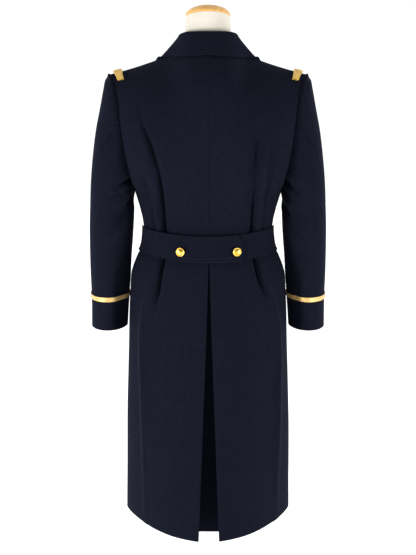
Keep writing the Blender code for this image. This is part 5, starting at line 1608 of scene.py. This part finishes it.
# ---------------------------------------------------------------- dress form
def finish_node(node, kind, angle=40.0):
    """Give a node that stays its finish and smooth shading."""
    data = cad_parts[node].data
    for place in range(max(1, len(data.materials))):
        if place < len(data.materials):
            data.materials[place] = finish(kind)
        else:
            data.materials.append(finish(kind))
    data.shade_smooth()
    data.set_sharp_from_angle(angle=math.radians(angle))


FORM_HIP_SET = 0.020          # extra room between the form and the coat at the form's lower end
FORM_NECK_SET = 0.008         # and beside the neck
# rings of the neck: height, radius, share of a true circle's height
NECK_RINGS = ((1.418, 0.0615, 0.45), (1.440, NECK_RADIUS, 1.0), (NECK_TOP_Z, NECK_TOP_RADIUS, 1.0))
NECK_FOOT_RISE = 0.016        # the neck's foot follows the shoulders, this far above them
NECK_TILT_FROM = 1.420        # height at which the neck starts to tilt
CAP_PROFILE = ((0.0, 1.0), (0.16, 0.993), (0.30, 0.97), (0.44, 0.928), (0.56, 0.87), (0.68, 0.79),
               (0.78, 0.70),
               (0.87, 0.59), (0.93, 0.46), (0.98, 0.35), (1.01, 0.27), (1.02, 0.22), (1.02, 0.08),
               (1.01, 0.03),
               (0.99, 0.0), (0.0, 0.0))


def form_points(side, u, v):
    """Surface of the form: the coat's, drawn in, with the shoulders just under the cloth."""
    points, out = body(side, u, v), normals(side, u, v)
    near_top = smooth(1.36, TOP, v)[..., None]
    out[..., 2] *= smooth(0.90, ARMPIT, v)
    inward = -out * (1.0 - near_top) + np.asarray((0.0, 0.0, -1.0)) * near_top
    inward /= np.linalg.norm(inward, axis=-1, keepdims=True)
    depth = FORM_SET + (FORM_REST - FORM_SET) * smooth(1.25, 1.35, v)
    depth = depth + FORM_HIP_SET * (1.0 - smooth(0.86, 0.97, v))
    depth = depth + FORM_NECK_SET * (1.0 - smooth(0.28, 0.50, np.abs(u))) * smooth(1.33, 1.39, v)
    points = points + inward * depth[..., None]
    points[..., 0] -= np.sign(u) * FORM_SHOULDER_SET * smooth(0.90, 1.0, np.abs(u)) * smooth(ARMPIT, 1.15, v)
    return points


def form_mesh(name):
    """The stuffed form: torso up to the shoulders and its neck, closed below and above."""
    mesh = bmesh.new()
    half = between((0.0, NECK_SHARE, 1.0), 0.02)
    columns = np.concatenate([-half[:0:-1], half])
    u, v = np.meshgrid(columns, between((FORM_BOTTOM, ARMPIT, 1.34, TOP), 0.012))
    loops = []
    for side in (BACK, FRONT):
        points = form_points(side, u, v)
        points[..., 1] = np.where((np.abs(u) == 1.0) & (v <= ARMPIT + 0.0001), 0.0, points[..., 1])
        join_rows(mesh, points.tolist(), flip=side == FRONT)
        neck = points[-1][np.abs(columns) <= NECK_SHARE + 1e-6]
        loops.append(neck if side == BACK else neck[::-1][1:-1])
    base = np.concatenate(loops)
    turn, rings = np.arctan2(base[:, 1], base[:, 0]), []
    for height, radius, share in NECK_RINGS:
        level = np.column_stack([radius * np.cos(turn), radius * np.sin(turn), np.full(len(base), height)])
        level[:, 2] -= level[:, 1] * math.tan(NECK_TILT) * smooth(NECK_TILT_FROM, NECK_TOP_Z, height)
        level[:, 2] = level[:, 2] * share + (base[:, 2] + NECK_FOOT_RISE) * (1.0 - share)
        rings.append(level)
    join_rows(mesh, [level.tolist() for level in (base, *rings)], closed=True)
    bmesh.ops.remove_doubles(mesh, verts=mesh.verts, dist=0.0004)
    bmesh.ops.holes_fill(mesh, edges=mesh.edges, sides=0)
    bmesh.ops.recalc_face_normals(mesh, faces=mesh.faces)
    return finished_mesh(name, mesh, 50)


def cap_mesh(name):
    steps = np.linspace(0.0, 2 * math.pi, 97)[:-1]
    radius = NECK_TOP_RADIUS
    rings = [[(r * radius * math.cos(a), r * radius * math.sin(a), h * CAP_HEIGHT) for a in steps]
             for r, h in CAP_PROFILE[1:-1]]
    data = turned_mesh(name, rings, (0.0, 0.0, CAP_HEIGHT), (0.0, 0.0, 0.0))
    data.transform(Matrix.Translation((0.0, 0.0, NECK_TOP_Z + SEAM)) @ Matrix.Rotation(-NECK_TILT, 4, "X"))
    data.set_sharp_from_angle(angle=math.radians(60))
    return data


class GREATCOAT_OT_dress_form(bpy.types.Operator):
    """Build the form and its wooden cap, and finish the stand"""

    bl_idname = "greatcoat.dress_form"
    bl_label = "Dress form"

    def execute(self, context):
        mesh_piece("jersey_form", form_mesh("jersey_form"), finish("jersey"), ["form"])
        mesh_piece("beech_cap", cap_mesh("beech_cap"), finish("beech"), ["form_cap"])
        finish_node("stand", "steel", 35.0)
        return {"FINISHED"}


# ---------------------------------------------------------------- stage
IMAGE_HEIGHT = 555            # rows of the photograph
FOCAL_ROWS = 1207.0           # focal length in rows
CAMERA_DISTANCE = 2.9
CAMERA_HEIGHT = 1.292
CAMERA_TILT = 8.5             # degrees down
SENSOR = 36.0
SKY_SLOPE = (0.0, 1.0, 0.6)   # the surroundings are brightest above and behind the coat
SKY_BAND = (-0.30, 0.45)      # and go from the dim room to the full sky between these
LIGHT_PLACE = (2.2, -1.5, 0.55)  # the two soft lights stand like this, left and right
LIGHT_AIM = (0.0, -0.1, 0.8)
LIGHT_SIZE = (0.6, 1.0)


def soft_light(name, side, power):
    data = bpy.data.lights.new(name, "AREA")
    data.shape = "RECTANGLE"
    data.size, data.size_y = LIGHT_SIZE
    data.energy = power
    made = bpy.data.objects.new(name, data)
    made.location = (side * LIGHT_PLACE[0], *LIGHT_PLACE[1:])
    made.rotation_euler = (Vector(LIGHT_AIM) - made.location).to_track_quat("-Z", "Y").to_euler()
    bpy.context.scene.collection.objects.link(made)


class GREATCOAT_OT_stage(bpy.types.Operator):
    """Set up the white floor, the soft lights and the camera"""

    bl_idname = "greatcoat.stage"
    bl_label = "Stage"

    def execute(self, context):
        scene, values = context.scene, context.scene.greatcoat_stage
        half = values.floor_size / 2
        data = bpy.data.meshes.new("floor")
        corners = [(-half, -half, 0), (half, -half, 0), (half, half, 0), (-half, half, 0)]
        data.from_pydata(corners, [], [(0, 1, 2, 3)])
        data.materials.append(painted_floor("painted board, white", "#ffffff"))
        floor = bpy.data.objects.new("floor", data)
        scene.collection.objects.link(floor)
        world = bpy.data.worlds.new("studio")
        world.use_nodes = True
        room = world.node_tree
        room.nodes["Background"].inputs["Color"].default_value = (1.0, 1.0, 1.0, 1.0)
        place = add(room, "ShaderNodeTexCoord")
        above = add(room, "ShaderNodeVectorMath", {"operation": "DOT_PRODUCT"},
                    {"Vector": (place, "Generated")})
        above.inputs[1].default_value = SKY_SLOPE
        wall = add(room, "ShaderNodeMapRange", {"From Min": SKY_BAND[0], "From Max": SKY_BAND[1],
                                                "To Min": values.room, "To Max": values.sky},
                   {"Value": (above, "Value")})
        room.links.new(wall.outputs["Result"], room.nodes["Background"].inputs["Strength"])
        scene.world = world
        soft_light("key", LEFT, values.key)
        soft_light("fill", RIGHT, values.fill)
        camera = bpy.data.cameras.new("camera")
        camera.sensor_fit = "AUTO"
        camera.sensor_width = SENSOR
        camera.lens = SENSOR * FOCAL_ROWS / IMAGE_HEIGHT
        made = bpy.data.objects.new("camera", camera)
        made.location = (0.0, -CAMERA_DISTANCE, CAMERA_HEIGHT)
        made.rotation_euler = (math.radians(90.0 - CAMERA_TILT), 0.0, 0.0)
        scene.collection.objects.link(made)
        scene.camera = made
        scene.view_settings.view_transform = "Standard"
        return {"FINISHED"}


# ---------------------------------------------------------------- sidebar
def hex_colour(name, description, default):
    return bpy.props.StringProperty(name=name, description=description + ", sRGB hex", default=default)


def strength(name, description, default, unit="NONE"):
    return bpy.props.FloatProperty(name=name, description=description, default=default, min=0.0, unit=unit)


class GREATCOAT_PG_cloth(bpy.types.PropertyGroup):
    wall: bpy.props.FloatProperty(name="Wall", description="Thickness of the coat cloth", default=WALL,
                                  min=0.001, max=0.006, unit="LENGTH")
    # Dark and Light paint shade in the hollows of the nap and light on its raised tops, over random tone
    dark: hex_colour("Dark", "Cloth colour in the hollows of the nap", "#0e1019")
    light: hex_colour("Light", "Cloth colour on the raised nap", "#151723")
    thread: hex_colour("Thread", "Colour of the sewing thread", "#141724")


class GREATCOAT_PG_trim(bpy.types.PropertyGroup):
    # Braid and Braid shade are a lit and a shaded copy of the lace's gold: painted highlight and painted
    # shade
    braid: hex_colour("Braid", "Lit colour of the lace", "#eecb84")
    braid_shade: hex_colour("Braid shade", "Colour between its ribs", "#b48a40")
    # Bullion and Bullion shade are a lit and a shaded copy of the wire's gold: painted highlight and painted
    # shade
    bullion: hex_colour("Bullion", "Lit colour of the bullion", "#ecc766")
    bullion_shade: hex_colour("Bullion shade", "Colour between its coils", "#a37425")
    gilt: hex_colour("Gilt", "Bright gilt", "#f5cf6a")
    gilt_worn: hex_colour("Gilt, worn", "Duller gilt", "#d9a53a")


class GREATCOAT_PG_stage(bpy.types.PropertyGroup):
    floor_size: bpy.props.FloatProperty(name="Floor", description="Side of the floor", default=24.0, min=2.0,
                                        unit="LENGTH")
    sky: strength("Sky", "Strength of the white surroundings", 1.12)
    room: strength("Room", "Strength of the dimmer room behind the camera", 0.345)
    key: strength("Key", "Power of the left light", 50.0, "POWER")
    fill: strength("Fill", "Power of the right light", 38.0, "POWER")


PIECES = (GREATCOAT_OT_back, GREATCOAT_OT_fronts, GREATCOAT_OT_lapels, GREATCOAT_OT_collar,
          GREATCOAT_OT_sleeves, GREATCOAT_OT_cuff_stripes, GREATCOAT_OT_shoulder_straps,
          GREATCOAT_OT_half_belt, GREATCOAT_OT_buttons, GREATCOAT_OT_dress_form, GREATCOAT_OT_stage)
GROUPS = {"greatcoat_cloth": GREATCOAT_PG_cloth, "greatcoat_trim": GREATCOAT_PG_trim,
          "greatcoat_stage": GREATCOAT_PG_stage}


class GREATCOAT_PT_sidebar(bpy.types.Panel):
    """Sizes, colours and one button for each group of pieces"""

    bl_idname = "GREATCOAT_PT_sidebar"
    bl_label = "Greatcoat"
    bl_space_type = "VIEW_3D"
    bl_region_type = "UI"
    bl_category = "Greatcoat"

    def draw(self, context):
        for group_name, group in GROUPS.items():
            box = self.layout.box()
            for name in group.__annotations__:
                box.prop(getattr(context.scene, group_name), name)
        for piece in PIECES:
            self.layout.operator(piece.bl_idname)


def register():
    for kind in (*GROUPS.values(), *PIECES, GREATCOAT_PT_sidebar):
        bpy.utils.register_class(kind)
    for name, group in GROUPS.items():
        setattr(bpy.types.Scene, name, bpy.props.PointerProperty(type=group))


def unregister():
    for name in GROUPS:
        delattr(bpy.types.Scene, name)
    for kind in (GREATCOAT_PT_sidebar, *reversed(PIECES), *GROUPS.values()):
        bpy.utils.unregister_class(kind)


def main():
    register()
    for piece in PIECES:
        group, name = piece.bl_idname.split(".")
        getattr(getattr(bpy.ops, group), name)()


if __name__ == "__main__":
    main()
